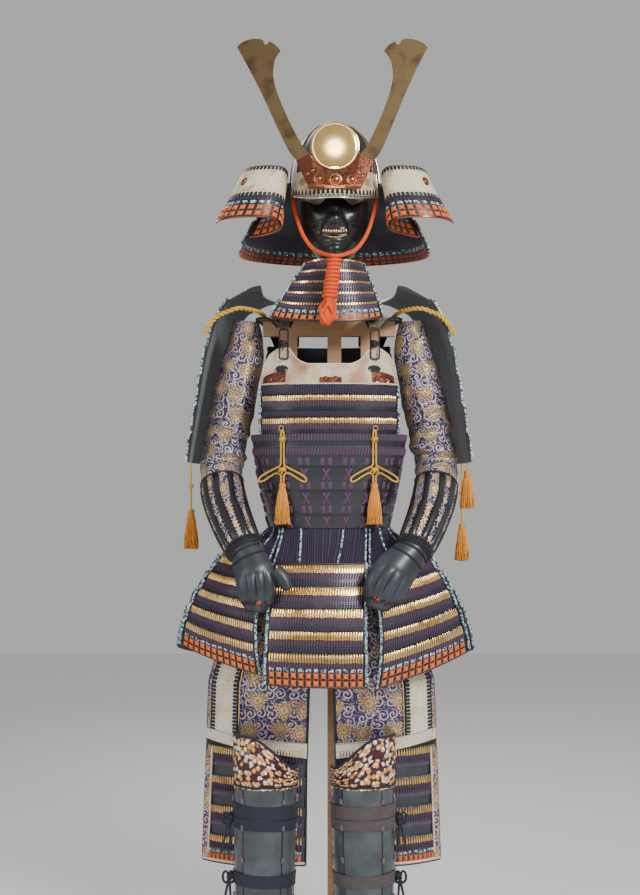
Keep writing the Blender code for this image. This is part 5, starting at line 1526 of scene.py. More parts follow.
TURNBACK_RISES = [0.0020, LEATHER, LEATHER, LEATHER, 0.0020]
for side, label in SIDES:
    piece, skin = begin(f"turnback upper {label}", turnback_surface(side, "brow", "upper_foot"), 64, 24)
    v_rows = [0, 0.03, 0.5, 0.97, 1.0]
    wall(piece, skin, v_rows, TURNBACK_RISES, "turnback_leather", 64, lining="lacquer")
    for v in (0.006, 0.994):
        rope(piece, skin.across(v, 0.0012, 90, 0.004), 0.0013, "brown_edge")
    for u in (0.006, 0.994):
        rope(piece, skin.down(u, 0.0012, 20, 0.01), 0.0014, "brown_edge")
    place, axis = skin.out_of(0.80 if side > 0 else 0.20, 0.47, 0.0022)
    for ring, height, rise in ((0.0105, 0.0, 0.0016), (0.0078, 0.0012, 0.0030)):
        boss = [(ring * math.cos(a), height + rise * math.sin(a)) for a in np.linspace(0, math.pi / 2, 7)]
        turned(piece, boss, place, axis, "copper", 32)
    piece.done()
    piece, skin = begin(f"turnback lower {label}", turnback_surface(side, "lower_head", "lower_foot"), 64, 24)
    wall(piece, skin, v_rows, TURNBACK_RISES, "lacquer", 64)
    for what, top, foot, count in (
        ("upright", 0.03, 0.17, 34),
        ("knots", 0.21, 0.35, 15),
        ("blocks", 0.38, 0.66, 15),
        ("blocks", 0.67, 0.95, 15),
    ):
        motif, finish, rise = MOTIFS[what]
        cells = row_of(skin, count, top, foot, 0.02, 0.98)
        lay(piece, skin, motif, cells, LEATHER, 0.8 * rise, finish)
        if what != "upright":
            lay(piece, skin, motif, cells, 0, -0.6 * rise, finish)
    rope(piece, skin.across(0.99, 0.0012, 90, 0.003), 0.0022, "copper")
    for u in (0.006, 0.994):
        rope(piece, skin.down(u, 0.0012, 20, 0.01), 0.0018, "copper")
    piece.done()

# %% [markdown]
# ## Mask and throat guard
# The mask is a plain face of raised rounded forms in deep black lacquer: brow, nose, cheeks and chin.
# Its upper teeth are gilded. Its forms are added as soft hills to a smooth shell.

# %% Mask
CHIN = 1.5275
MASK_TURN = math.radians(88)
MASK = table(
    "z half_width front side",
    (1.6640, 0.0700, 0.1000, 0.040),
    (1.6420, 0.0690, 0.1080, 0.038),
    (1.6200, 0.0670, 0.1140, 0.036),
    (1.5980, 0.0620, 0.1180, 0.038),
    (1.5760, 0.0550, 0.1200, 0.044),
    (1.5500, 0.0430, 0.1190, 0.056),
    (CHIN, 0.0270, 0.1130, 0.076),
)
MASK_FORMS = table(
    "x z wide tall out",
    (0.000, 1.638, 0.0105, 0.024, 0.010),
    (0.000, 1.608, 0.0120, 0.012, 0.015),
    (0.013, 1.603, 0.0070, 0.008, 0.005),
    (0.042, 1.622, 0.0170, 0.013, 0.008),
    (0.022, 1.596, 0.0080, 0.012, 0.003),
    (0.000, 1.5765, 0.0260, 0.0060, -0.006),
    (0.000, 1.566, 0.0200, 0.005, 0.003),
    (0.000, 1.546, 0.0160, 0.010, 0.007),
)
# Smaller forms that only the outer face has: creases beside the nose, nostrils, lips and chin
MASK_CREASES = table(
    "x z wide tall out",
    (0.0050, 1.5975, 0.0028, 0.0022, -0.0022),
    (0.0210, 1.6080, 0.0040, 0.0060, -0.0016),
    (0.0265, 1.5960, 0.0040, 0.0060, -0.0020),
    (0.0300, 1.5840, 0.0040, 0.0060, -0.0022),
    (0.0150, 1.5880, 0.0090, 0.0028, 0.0018),
    (0.0330, 1.6060, 0.0110, 0.0030, 0.0014),
    (0.0400, 1.5930, 0.0100, 0.0030, 0.0012),
    (0.0120, 1.5560, 0.0100, 0.0026, -0.0014),
    (0.0340, 1.5700, 0.0060, 0.0080, 0.0010),
)


def hills(rows, x, z):
    lift = 0.0
    for row in rows:
        for side in (-1, 1) if row["x"] else (1,):
            a, b = (x - side * row["x"]) / row["wide"], (z - row["z"]) / row["tall"]
            lift = lift + row["out"] * np.exp(-(a * a + b * b))
    return lift


def mask_point(u, v):
    across = 2 * u - 1
    turn = MASK_TURN * math.copysign(abs(across) ** 1.4, across)
    row = along(MASK, v)
    s = abs(math.sin(turn))
    brow = 0.008 * math.exp(-((s / 0.16) ** 2)) - 0.017 * math.exp(-(((s - 0.52) / 0.26) ** 2)) - 0.006
    z = row["z"] + brow * (1 - v) ** 2
    x = row["half_width"] * math.sin(turn)
    y = -(row["side"] + (row["front"] - row["side"]) * math.cos(turn) ** 1.1)
    return np.array((HEAD_X + x, y - hills(MASK_FORMS, x, z) * 0.8, z))


piece, skin = begin("face mask", mask_point, 120, 110)


def mask_lift(u, v):
    place = skin.read(skin.grid, u, v)
    x, z = place[..., 0] - HEAD_X, place[..., 2]
    fade = np.clip(np.minimum(v, 1 - v) * 12, 0, 1)
    return np.maximum(hills(MASK_FORMS, x, z), 0) * 0.2 + hills(MASK_CREASES, x, z) * fade


wall(piece, skin, 80, 0.0030, "mask_lacquer", 100, lining="red_lacquer", lift=mask_lift)
rope(piece, skin.across(0.006, 0.0018, 90, 0.004), 0.0016, "mask_lacquer")


def on_mask(x, z, out=0.002):
    """The outer face of the mask at x from its middle and height z."""
    gap = (skin.grid[..., 0] - HEAD_X - x) ** 2 + (skin.grid[..., 2] - z) ** 2
    j, i = np.unravel_index(np.argmin(gap), gap.shape)
    place = skin.at(i / 120, j / 110, out)
    return np.array((HEAD_X + x, place[1], z))


teeth = np.linspace(-0.0260, 0.0260, 11)
for left, right in zip(teeth, teeth[1:]):
    middle = (left + right) / 2
    centre = on_mask(middle, 1.5835 + 5.0 * middle * middle, 0.0036)
    half = (right - left) / 2 * 0.94
    s, t, h, faces = patch(6, 6, lambda s, t: (dome(s, 4) * dome(t, 4)) ** 0.5)
    tooth = np.stack([(2 * s - 1) * half, 0.001 - 0.0032 * h, (0.5 - t) * 0.0072], axis=-1)
    piece.add(centre + tooth, faces, "gilt")
lip = [on_mask(x, 1.5700 + 15.0 * x * x, 0.0036) for x in np.linspace(-0.024, 0.026, 24)]
rope(piece, np.array(lip), 0.0024 * np.sin(np.linspace(0.25, math.pi - 0.25, 24)), "gilt")
piece.done(sharp=70)

# %% Throat guard
THROAT_FOOT = 1.390


def throat_point(u, v):
    across = 2 * u - 1
    half = mix(0.056, 0.118, v**0.9)
    turn = across * math.radians(72)
    y = -mix(0.1118, 0.148, v) + (1 - math.cos(turn)) * mix(0.060, 0.068, v)
    x = mix(HEAD_X, -0.006, v) + half * math.sin(turn) / math.sin(math.radians(72))
    top = CHIN - SEAM - 0.006 * across * across
    return np.array((x, y, mix(top, THROAT_FOOT + 0.016 * across * across, v)))


LAMES["throat"] = table(
    "what top foot per",
    ("heads", 0.00, 0.26, 1),
    ("slant", 0.30, 0.62, 1),
    ("upright", 0.66, 1.00, 1),
)
LAMES["throat_edge"] = table(
    "what top foot per",
    ("heads", 0.00, 0.17, 1),
    ("slant", 0.20, 0.38, 1),
    ("knots", 0.42, 0.60, 0.42),
    ("blocks", 0.62, 0.95, 0.42),
)
piece, skin = begin("throat guard", throat_point, 64, 48)
lames = [(0.0, 0.17, "throat"), (0.17, 0.35, "throat"), (0.35, 0.53, "throat"), (0.53, 0.70, "throat")]
base = laced(piece, skin, lames + [(0.70, 1.0, "throat_edge")], 36, CLOTH, 0.0028, top=0.0, foot=1.0)
for u in (0.012, 0.988):
    edge_cord(piece, skin, u, 0.02, 0.99, base, 0.0028)
rope(piece, skin.across(0.994, 0.0012, 60, 0.003), 0.0018, "brown_edge")
piece.done()

# %% [markdown]
# ### Chin cord
# A thick plaited silk cord ties the helmet down. Under the chin it is wound round itself and ends in
# a woven lantern. Each turn is a rope on a spiral, so it casts real shadows between the strands.

# %% Chin cord and its knot
CHIN_CORD = [
    (0.0860, -0.0150, 1.7060),
    (0.0885, -0.0380, 1.6740),
    (0.0870, -0.0600, 1.6480),
    (0.0810, -0.0700, 1.6220),
    (0.0730, -0.0800, 1.5960),
    (0.0630, -0.0930, 1.5730),
    (0.0460, -0.1120, 1.5480),
    (0.0240, -0.1440, 1.5320),
    (0.0062, -0.1680, 1.5245),
]
right = [(HEAD_X + x, y, z) for x, y, z in CHIN_CORD]
left = [(HEAD_X - x, y, z) for x, y, z in reversed(CHIN_CORD)]
piece = Piece("chin cord")
rope(piece, smooth_path(right + left, 220), 0.0044, "orange_cord", 6, 0.022, sides=14)
piece.done(sharp=70)

KNOT_TOP, KNOT_Y, KNOT_LEAN = 1.5203, -0.1673, 0.14
piece = Piece("chin knot")
down = np.array((-math.sin(KNOT_LEAN), 0, -math.cos(KNOT_LEAN)))
across = np.array((math.cos(KNOT_LEAN), 0, -math.sin(KNOT_LEAN)))
knot_foot = np.array((HEAD_X, KNOT_Y, KNOT_TOP))
turned(piece, [(0.0105, -0.086), (0.0110, -0.03), (0.0105, -0.004)], knot_foot, -down, "orange_cord", 24)
WRAPS = 10
turn = np.linspace(0, 2 * math.pi * WRAPS, 32 * WRAPS)
depth = np.linspace(0.0035, 0.0855, len(turn))
spin = np.cos(turn)[:, None] * across + np.sin(turn)[:, None] * np.array((0, -1, 0))
wrap_radius = mix(0.0110, 0.0128, depth / 0.0855)[:, None]
rope(piece, knot_foot + down * depth[:, None] + spin * wrap_radius, 0.0040, "orange_cord", 4, 0.012)
for k in range(3):
    for start in (0, 1):
        phase = 2 * math.pi * (k / 3 + start / 6)
        t = np.linspace(0, 1, 44)
        swell = 0.0055 + 0.0098 * np.sin(math.pi * np.clip(t * 1.04, 0, 1)) ** 0.8
        swing = phase + (1 if start else -1) * 2.4 * t
        spin = np.cos(swing)[:, None] * across + np.sin(swing)[:, None] * np.array((0, -1, 0))
        weave = 0.0012 * np.sin(6 * math.pi * t + (math.pi if start else 0))
        path = knot_foot + down * (0.084 + 0.054 * t)[:, None] + spin * (swell + weave)[:, None]
        rope(piece, path, 0.0040, "orange_cord", 4, 0.014)
profile = [(0.004, -0.139), (0.0105, -0.128), (0.0125, -0.110), (0.008, -0.088)]
turned(piece, profile, knot_foot, -down, "orange_cord", 20)
piece.done(sharp=70)

# %% [markdown]
# ## Cords and tassels
# The gold cords are tied in a knot with two loops. Each tassel is a bound head with fine strands, whose
# roots sit in one bound core.

# %% Shoulder straps and toggle loops
STRAP = table(
    "x y z half",
    (0.0940, 0.0950, 1.3604, 0.026),
    (0.1000, 0.0900, 1.3860, 0.032),
    (0.1100, 0.0620, 1.4050, 0.038),
    (0.1160, 0.0000, 1.4074, 0.043),
    (0.1120, -0.0420, 1.4070, 0.038),
    (0.1020, -0.0760, 1.4020, 0.027),
    (0.0960, -0.0960, 1.3820, 0.013),
)
STRAP_X, TOGGLE_TOP, TOGGLE_FOOT = 0.096, 1.3798, 1.3170
for side, label in SIDES:

    def strap_point(u, v, side=side):
        row = along(STRAP, v)
        return np.array((side * row["x"] + (2 * u - 1) * row["half"], row["y"], row["z"]))

    piece, skin = begin(f"shoulder strap {label}", strap_point, 16, 48)
    wall(piece, skin, 26, 0.005, "strap_brocade", 12, lining="dark_cloth")
    for u in (0.02, 0.98):
        rope(piece, skin.down(u, 0.0028, 60, 0.004), 0.0028, "black_cord", 4, 0.012)
    piece.done()
    piece = Piece(f"toggle loop {label}")
    half, corner = 0.009, 0.004
    loop = []
    for k, (way_x, way_z) in enumerate(((1, 1), (-1, 1), (-1, -1), (1, -1))):
        middle_z = (TOGGLE_TOP if way_z > 0 else TOGGLE_FOOT) - way_z * corner
        for turn in np.linspace(k, k + 1, 6) * math.pi / 2:
            x = side * STRAP_X + way_x * (half - corner) + corner * math.cos(turn)
            z = middle_z + corner * math.sin(turn)
            loop.append((x, mix(-0.0985, -0.1077, (TOGGLE_TOP - z) / (TOGGLE_TOP - TOGGLE_FOOT)), z))
    rope(piece, loop, 0.0018, "black_cord", cyclic=True)
    knot_z = 1.3480
    middle = np.array((side * STRAP_X, -0.1050, knot_z))
    for k in range(3):
        one = np.array((0.0085, 0, 0.0030 * math.cos(1.2 * k)))
        other = np.array((0, 0.0040, -0.0030 * math.sin(1.2 * k)))
        ring = oval(middle + (0, -0.0030, 0.004 * (k - 1)), one, other)
        rope(piece, ring, 0.0019, "black_cord", cyclic=True)
    profile = [(0.0001, -0.0065), (0.0052, -0.005), (0.0062, 0.0), (0.0052, 0.005), (0.0001, 0.0065)]
    turned(piece, profile, middle + (0, -0.002, 0), (0, -0.2, 1), "black_cord", 16)
    piece.done()


# %% Chest cords, tassels
CHEST_CORD_HALF = [
    (0.0030, 1.0580, 0.0065), (0.0034, 1.0720, 0.0040), (0.0120, 1.0770, 0.0010), (0.0260, 1.0700, 0.0005),
    (0.0400, 1.0610, 0.0000), (0.0480, 1.0590, 0.0000), (0.0500, 1.0640, 0.0000), (0.0440, 1.0710, 0.0000),
    (0.0290, 1.0800, 0.0005), (0.0130, 1.0880, 0.0010), (0.0042, 1.0940, 0.0010), (0.0034, 1.1060, 0.0005),
    (0.0030, 1.1300, 0.0000), (0.0030, 1.1550, 0.0000), (0.0022, 1.1640, 0.0000),
]


def ball_of_cord(piece, middle, size, finish, radius=0.0018):
    """A knot: three turns of cord round one middle, each in its own plane."""
    planes = (((1, 0, 0.35), (0, -1, 0.2)), ((0.4, 0, 1), (0.2, -1, 0)), ((1, -0.3, -0.5), (0.1, -1, 0.5)))
    for one, other in planes:
        one = np.array(one) * size / np.linalg.norm(one)
        other = np.array(other) * 0.7 * size / np.linalg.norm(other)
        rope(piece, oval(middle, one, other, 28), radius, finish, cyclic=True)


# Each thread turns on by this angle from the last, which spreads any number of them evenly
GOLDEN_ANGLE = 2.39996


def tassel(piece, x, y, top, foot, finish, head=0.008, spread=0.020, strands=110):
    """A bound head and the strands that hang from it, each a thin four-sided tapering thread."""
    head_foot = top - 0.016
    rows = ((0, -0.004), (0.8, -0.003), (0.95, 0), (0.78, 0.004))
    rows += ((1, 0.009), (0.8, 0.014), (0.3, 0.0165), (0, 0.017))
    profile = [(max(head * share, 0.0001), head_foot + rise) for share, rise in rows]
    turned(piece, profile, (x, y, 0), (0, 0, 1), finish, 24)
    round_x, round_y = np.array((head * 0.86, 0, 0)), np.array((0, head * 0.86, 0))
    rope(piece, oval((x, y, head_foot + 0.0035), round_x, round_y), 0.0013, finish, cyclic=True)
    for number in range(strands):
        angle = number * GOLDEN_ANGLE
        share = math.sqrt((number + 0.5) / strands)
        t = np.linspace(0, 1, 9)
        reach = share * (head * 0.80 + (spread - head) * t**0.7)
        wave = 0.0011 * np.sin(9 * t + number) * t
        length = top - 0.014 - foot + RNG.uniform(-0.004, 0.003)
        thread_x = x + math.cos(angle) * reach + wave
        path = np.stack([thread_x, y + math.sin(angle) * reach * 0.8, top - 0.014 - length * t], axis=1)
        rope(piece, path, 0.00135 - 0.0004 * t, finish, sides=4)


for x0, label in ((-0.0985, "left"), (0.0945, "right")):
    corners = [(x0 - x, z, out) for x, z, out in CHEST_CORD_HALF + [(0.0, 1.1665, 0.0)]]
    corners += [(x0 + x, z, out) for x, z, out in reversed(CHEST_CORD_HALF)]
    corners = [(x, cuirass_y(min(abs(x), 0.118), z) - 0.0081 - out, z) for x, z, out in corners]
    piece = Piece(f"chest cord {label}")
    rope(piece, smooth_path(corners, 260), 0.0020, "yellow_cord", 4, 0.010)
    y = corners[0][1]
    ball_of_cord(piece, (x0, y + 0.001, 1.0830), 0.0085, "yellow_cord")
    ball_of_cord(piece, (x0, cuirass_y(abs(x0), 1.150) - 0.009, 1.1480), 0.0062, "yellow_cord")
    place, axis = on_torso(x0, 1.1710, 0.0085)
    ring = oval(place, np.cross((0, 0, 1), axis) * 0.0050, np.array((0, 0, 0.0050)))
    rope(piece, ring, 0.0015, "gilt", cyclic=True)
    stud(piece, place - axis * 0.003 - np.array((0, 0, 0.008)), axis, 0.0036, 0.003, "lacquer")
    piece.done(slot="gold_cord")
    piece = Piece(f"chest tassel {label}")
    tassel(piece, x0, y, 1.0576, 0.972, "gold_cord", head=0.0078, spread=0.0185, strands=120)
    piece.done()

HANGS_FROM, SIDE_CORD, SHORTEST_FREE, INTO_HEAD = 1.0997, 0.0044, 0.03, 0.012
SIDE_TASSELS = table(
    "name x y top foot",
    ("side_tassel_left", -0.3015, 0.0200, 1.000, 0.914),
    ("side_tassel_right_long", 0.2985, 0.0980, 0.968, 0.884),
    ("side_tassel_right_short", 0.3015, 0.0100, 1.085, 1.003),
)
for row in SIDE_TASSELS:
    x, y, top = row["x"], row["y"], row["top"]
    piece = Piece(row["name"].replace("_", " "))
    tassel(piece, x, y, top, row["foot"], "gold_cord", head=0.0080, spread=0.0185, strands=100)
    hung = np.array([(x, y, z) for z in np.linspace(HANGS_FROM, top - INTO_HEAD, 40)])
    length = HANGS_FROM - top + INTO_HEAD
    print(row["name"], "hangs on", round(length, 3), "m of cord")
    if length < SHORTEST_FREE:
        rope(piece, hung, SIDE_CORD / 2, "yellow_cord", 2, 0.012)
        piece.done()
        continue
    ball_of_cord(piece, (x, y, mix(top, HANGS_FROM, 0.5)), 0.0050, "yellow_cord", 0.0016)
    bundle = piece.done()
    piece = Piece(row["name"].replace("tassel", "cord").replace("_", " "))
    rope(piece, hung, SIDE_CORD / 2, "yellow_cord", 2, 0.012)
    cord = piece.done(slot="gold_cord")

# %% [markdown]
# ## Shoulder guards
# Each is a curved board of lames hung beside the arm. Its top is a metal rail and a smooth dark plate,
# and a twisted gold cord ties it at the front.

# %% Shoulder guards
SODE_FOOT, SODE_FRONT, SODE_BACK = 1.100, -0.075, 0.195
SODE = table(
    "x z",
    (0.1450, 1.4700),
    (0.1980, 1.4540),
    (0.2300, 1.4200),
    (0.2480, 1.3760),
    (0.2620, 1.3250),
    (0.2720, 1.2700),
    (0.2820, 1.2100),
    (0.2910, 1.1560),
    (0.3000, SODE_FOOT),
)


def sode_surface(side):
    def point(u, v):
        row = along(SODE, v)
        y = mix(SODE_FRONT, SODE_BACK, u if side > 0 else 1 - u)
        curl = 1.30 * max(0, y - 0.05) ** 2 + 0.8 * max(0, -0.03 - y) ** 2
        return np.array((side * (row["x"] - curl), y, row["z"]))

    return point


LAMES["plate"] = table("what top foot per")
SODE_LAMES = np.linspace(0.17, 1.0, 7)
for side, label in SIDES:
    piece, skin = begin(f"shoulder guard {label}", sode_surface(side), 40, 72)
    kinds = ["scale"] * 5 + ["edge"]
    lames = [(0.0, 0.168, "plate")] + list(zip(SODE_LAMES, SODE_LAMES[1:], kinds))
    base = laced(piece, skin, lames, 42, PLATE, 0.0040, lining="navy_lining")
    uu, vv = np.meshgrid(np.linspace(0.01, 0.99, 30), np.linspace(0.0, 0.075, 5))
    rail = PLATE + 0.0018 + 0.0030 * np.sin(math.pi * vv / 0.075)
    piece.add(skin.at(uu, vv, rail).reshape(-1, 3), grid_faces(5, 30), "silver")
    for v in (0.002, 0.080):
        rope(piece, skin.across(v, PLATE + 0.001, 50, 0.005), 0.0020, "silver")
    front_u = 0.015 if side > 0 else 0.985
    for u in (0.015, 0.985):
        edge_cord(piece, skin, u, 0.17, 0.99, base, 0.0034)
    stud(piece, *skin.out_of(front_u, 0.20, 0.005), 0.0050, 0.0040, "gilt", ring=0.0080)
    piece.done()
    y = SODE_FRONT - 0.0059
    corners = [
        (side * 0.1400, -0.0100, 1.4182),
        (side * 0.1560, -0.0450, 1.4246),
        (side * 0.1900, y + 0.002, 1.4270),
        (side * 0.2170, y, 1.4190),
        (side * 0.2360, y, 1.4100),
        (side * 0.2530, y, 1.3920),
        (side * 0.2660, y, 1.3700),
    ]
    path = smooth_path(corners, 90)
    one, other = carried_frames(path)
    run = np.concatenate([[0], np.cumsum(np.linalg.norm(np.diff(path, axis=0), axis=1))])
    piece = Piece(f"shoulder cord {label}")
    for start in (0, math.pi):
        swing = start + 2 * math.pi * run / 0.022
        strand = path + 0.0026 * (np.cos(swing)[:, None] * one + np.sin(swing)[:, None] * other)
        rope(piece, strand, 0.0028, "yellow_cord", 4, 0.009)
    piece.done()
print("pieces so far:", len(MADE))

# %% [markdown]
# ## Sleeves
# A sleeve is a tube of brocade, gathered at the elbow. Its folds are soft uneven ridges and troughs
# listed one by one, most of them where the elbow bends; no cloth simulation is run. Over the forearm lie
# long lacquered splints with black lacing along their sides.

# %% Sleeve surface
SLEEVE = table(
    "x y z wide deep",
    (0.1800, 0.0080, 1.4062, 0.0250, 0.0400),
    (0.1830, 0.0100, 1.3450, 0.0390, 0.0500),
    (0.1990, 0.0140, 1.2760, 0.0435, 0.0540),
    (0.2140, 0.0160, 1.2050, 0.0450, 0.0540),
    (0.2270, 0.0140, 1.1400, 0.0440, 0.0500),
    (0.2340, 0.0020, 1.0820, 0.0425, 0.0460),
    (0.2240, -0.0400, 1.0240, 0.0410, 0.0420),
    (0.2010, -0.0930, 0.9680, 0.0385, 0.0380),
    (0.1740, -0.1380, 0.9150, 0.0340, 0.0310),
)
SLEEVE_FOLDS = table(
    "at long out lean",
    (0.34, 0.018, 0.0030, 0.020),
    (0.46, 0.016, 0.0045, -0.025),
    (0.53, 0.014, 0.0055, 0.020),
    (0.60, 0.014, 0.0045, -0.015),
)
# Finer folds of the outer face: where along the arm, round it, how long, how wide, how far out, lean
SLEEVE_CREASES = table(
    "at turn long wide out lean",
    (0.08, 0.5, 0.020, 1.2, 0.0022, 0.030),
    (0.14, -0.6, 0.014, 1.0, -0.0026, -0.035),
    (0.20, 0.7, 0.016, 1.4, 0.0024, 0.045),
    (0.27, -0.2, 0.012, 1.3, -0.0026, -0.030),
    (0.31, 0.4, 0.012, 1.6, 0.0034, 0.020),
    (0.385, 0.0, 0.010, 1.5, -0.0034, -0.018),
    (0.415, 0.5, 0.012, 1.7, 0.0046, 0.022),
    (0.443, -0.3, 0.008, 1.4, -0.0036, 0.016),
    (0.492, 0.1, 0.008, 1.8, -0.0044, -0.020),
    (0.520, -0.6, 0.010, 1.3, 0.0038, 0.030),
    (0.568, 0.2, 0.008, 1.8, -0.0044, 0.020),
    (0.590, 0.8, 0.010, 1.2, 0.0036, -0.026),
    (0.632, -0.1, 0.010, 1.6, -0.0034, 0.016),
    (0.660, 0.3, 0.012, 1.5, 0.0026, -0.024),
)


def sleeve_frame(side, t):
    row, ahead, behind = (along(SLEEVE, k) for k in (t, min(t + 0.02, 1), max(t - 0.02, 0)))
    run = np.array([ahead[key] - behind[key] for key in "xyz"])
    run[0] *= side
    run /= np.linalg.norm(run)
    deep = np.array((0, -1, 0)) - run * -run[1]
    deep /= np.linalg.norm(deep)
    wide = np.cross(run, deep)
    wide *= math.copysign(1, wide[0])
    return np.array((side * row["x"], row["y"], row["z"])), wide * row["wide"], deep * row["deep"]


def sleeve_surface(side, out=0.0, start=0.0, end=1.0, turn_from=-math.pi, turn_to=math.pi):
    def point(u, v):
        t, turn = mix(start, end, v), mix(turn_from, turn_to, u)
        centre, wide, deep = sleeve_frame(side, t)
        across = wide * math.sin(turn) + deep * math.cos(turn)
        push = out
        for fold in SLEEVE_FOLDS:
            shift = (t - fold["at"] - fold["lean"] * math.sin(turn)) / fold["long"]
            push += fold["out"] * math.exp(-shift * shift) * (0.6 + 0.4 * math.cos(turn + side))
        return centre + across * (1 + push / np.linalg.norm(across))

    return point


def sleeve_creases(side):
    def lift(u, v):
        turn = mix(-math.pi, math.pi, u)
        total = np.zeros_like(turn)
        for row in SLEEVE_CREASES:
            away = np.angle(np.exp(1j * (turn - side * row["turn"])))
            shift = (v - row["at"] - row["lean"] * away) / row["long"]
            total += row["out"] * np.exp(-shift * shift - (away / row["wide"]) ** 2)
        total += 0.0009 * np.sin(9 * turn + 14 * v) * np.sin(26 * v)
        return total * np.clip(np.minimum(v, 1 - v) * 25, 0, 1)

    return lift


def long_plate(across=9, steps=26, flat=3):
    """A long rounded splint with rounded ends."""
    def height(s, t):
        return dome(s, flat) * dome(t, 24)

    return patch(across, steps, height)


# %% Sleeves and forearm guards
GUARD_SHARE = 5 / 16
BACKING = 0.0012
WRIST_HALF = math.radians(118)
for side, label in SIDES:
    piece, skin = begin(f"sleeve {label}", sleeve_surface(side), 72, 140)
    wall(
        piece,
        skin,
        116,
        CLOTH,
        "sleeve_brocade",
        lining="dark_cloth",
        closed=True,
        lift=sleeve_creases(side),
        u_rows=np.linspace(0, 1, 81),
    )
    cloth = piece.done(sharp=80)
    flat_sleeve = (skin.width, skin.length)
    print(cloth.name, "flat cut", np.round(flat_sleeve, 3))
    middle = side * math.radians(28)
    turns = (middle - WRIST_HALF, middle + WRIST_HALF)
    over_sleeve = sleeve_surface(side, CLOTH + 0.0010, 1 - GUARD_SHARE, 1.0, *turns)
    piece, skin = begin(f"forearm guard {label}", over_sleeve, 90, 60)
    rises = [0.0008, BACKING, BACKING, BACKING, 0.0010]
    wall(piece, skin, [0, 0.02, 0.5, 0.98, 1.0], rises, "sleeve_brocade", 90)
    splints, laces = [], []
    for k in range(6):
        left, right = (k + 0.24) / 6, (k + 0.74) / 6
        splints.append((left, right, 0.015, 0.90))
        for edge in (left - 0.008, right + 0.008):
            for v in np.linspace(0.02, 0.89, 22):
                laces.append((edge - 0.007, edge + 0.007, v, v + 0.022))
    lay(piece, skin, long_plate(7, 20), splints, BACKING, 0.0040, "arm_lacquer")
    lay(piece, skin, bead(), laces, BACKING, 0.0026, "black_cord")
    blossoms = []
    for k in range(7):
        u = (k - 0.01) / 6
        for v in np.linspace(0.12, 0.84, 4):
            middle = min(max(u + RNG.uniform(-0.006, 0.006), 0.03), 0.97)
            blossoms.append(skin.around(middle, v, 0.0045, 0.0070))
    lay(piece, skin, rosette(9), blossoms, BACKING, 0.0008, "gold_thread")
    cuff = [(k / 30, (k + 1) / 30, 0.915, 0.995) for k in range(30)]
    lay(piece, skin, lace(0.0, 0.95, 5), cuff, BACKING, 0.0036, "black_cord")
    for v in (0.004, 0.91, 0.996):
        rope(piece, skin.across(v, BACKING, 80, 0.004), 0.0022, "black_cord", 4, 0.010)
    piece.done()

# %% [markdown]
# ## Hand guards
# A domed lacquered plate covers the back of the hand, with four raised fingers, a black laced line
# and a copper boss. It is open below and at the wrist; there is no hand inside.

# %% Hand guards
HANDS = {
    "left": (
        -1,
        0.0013,
        table(
            "x y z half",
            (-0.1650, -0.1600, 0.9100, 0.0370),
            (-0.1560, -0.1720, 0.8800, 0.0385),
            (-0.1510, -0.1760, 0.8500, 0.0385),
            (-0.1500, -0.1760, 0.8200, 0.0340),
            (-0.1520, -0.1720, 0.7930, 0.0170),
        ),
    ),
    "right": (
        1,
        0.0024,
        table(
            "x y z half",
            (0.1620, -0.1600, 0.9100, 0.0370),
            (0.1400, -0.1720, 0.8820, 0.0410),
            (0.1200, -0.1760, 0.8540, 0.0420),
            (0.1060, -0.1760, 0.8250, 0.0370),
            (0.0990, -0.1720, 0.7980, 0.0180),
        ),
    ),
}
THUMB = table("x y z", (-0.1120, -0.1866, 0.8780), (-0.0980, -0.1906, 0.8640), (-0.0840, -0.1920, 0.8400))
HAND_TURN = math.radians(78)


def line_frame(line, v):
    row, ahead, behind = (along(line, k) for k in (v, min(v + 0.05, 1), max(v - 0.05, 0)))
    run = np.array([ahead[key] - behind[key] for key in "xyz"])
    across = np.cross((0, -1, 0), run)
    across *= math.copysign(1, across[0]) / np.linalg.norm(across)
    return np.array((row["x"], row["y"], row["z"])), across, row


def hand_surface(side, wrist_gap, line):
    middle = side * math.radians(20)
    cuff = sleeve_surface(side, turn_from=middle - HAND_TURN, turn_to=middle + HAND_TURN)
    run = cuff(0.5, 1.0) - cuff(0.5, 0.97)
    run = run / np.linalg.norm(run)

    def point(u, v):
        s = 2 * u - 1
        place, across, row = line_frame(line, v)
        plate = place + across * s * row["half"] + np.array((0, -0.018 * (1 - s * s), 0))
        return mix(cuff(u, 1.0) + run * wrist_gap, plate, ease(v / 0.30))

    return point


def thumb_point(u, v):
    place, across, _ = line_frame(THUMB, v)
    s = 2 * u - 1
    half = 0.0125 * math.sqrt(max(1 - max(0, (v - 0.6) / 0.42) ** 2, 0.06))
    return place + across * s * half + np.array((0, -0.007 * (1 - s * s), 0))


def knuckles(u, v):
    """Four fingers with grooves between them, and the knuckle ridge above."""
    fingers = np.abs(np.sin(4 * math.pi * u)) ** 0.6
    long = np.sin(math.pi * np.clip((v - 0.30) / 0.48, 0, 1)) ** 0.6
    return 0.0052 * fingers * long + 0.0012 * np.exp(-(((v - 0.26) / 0.03) ** 2))


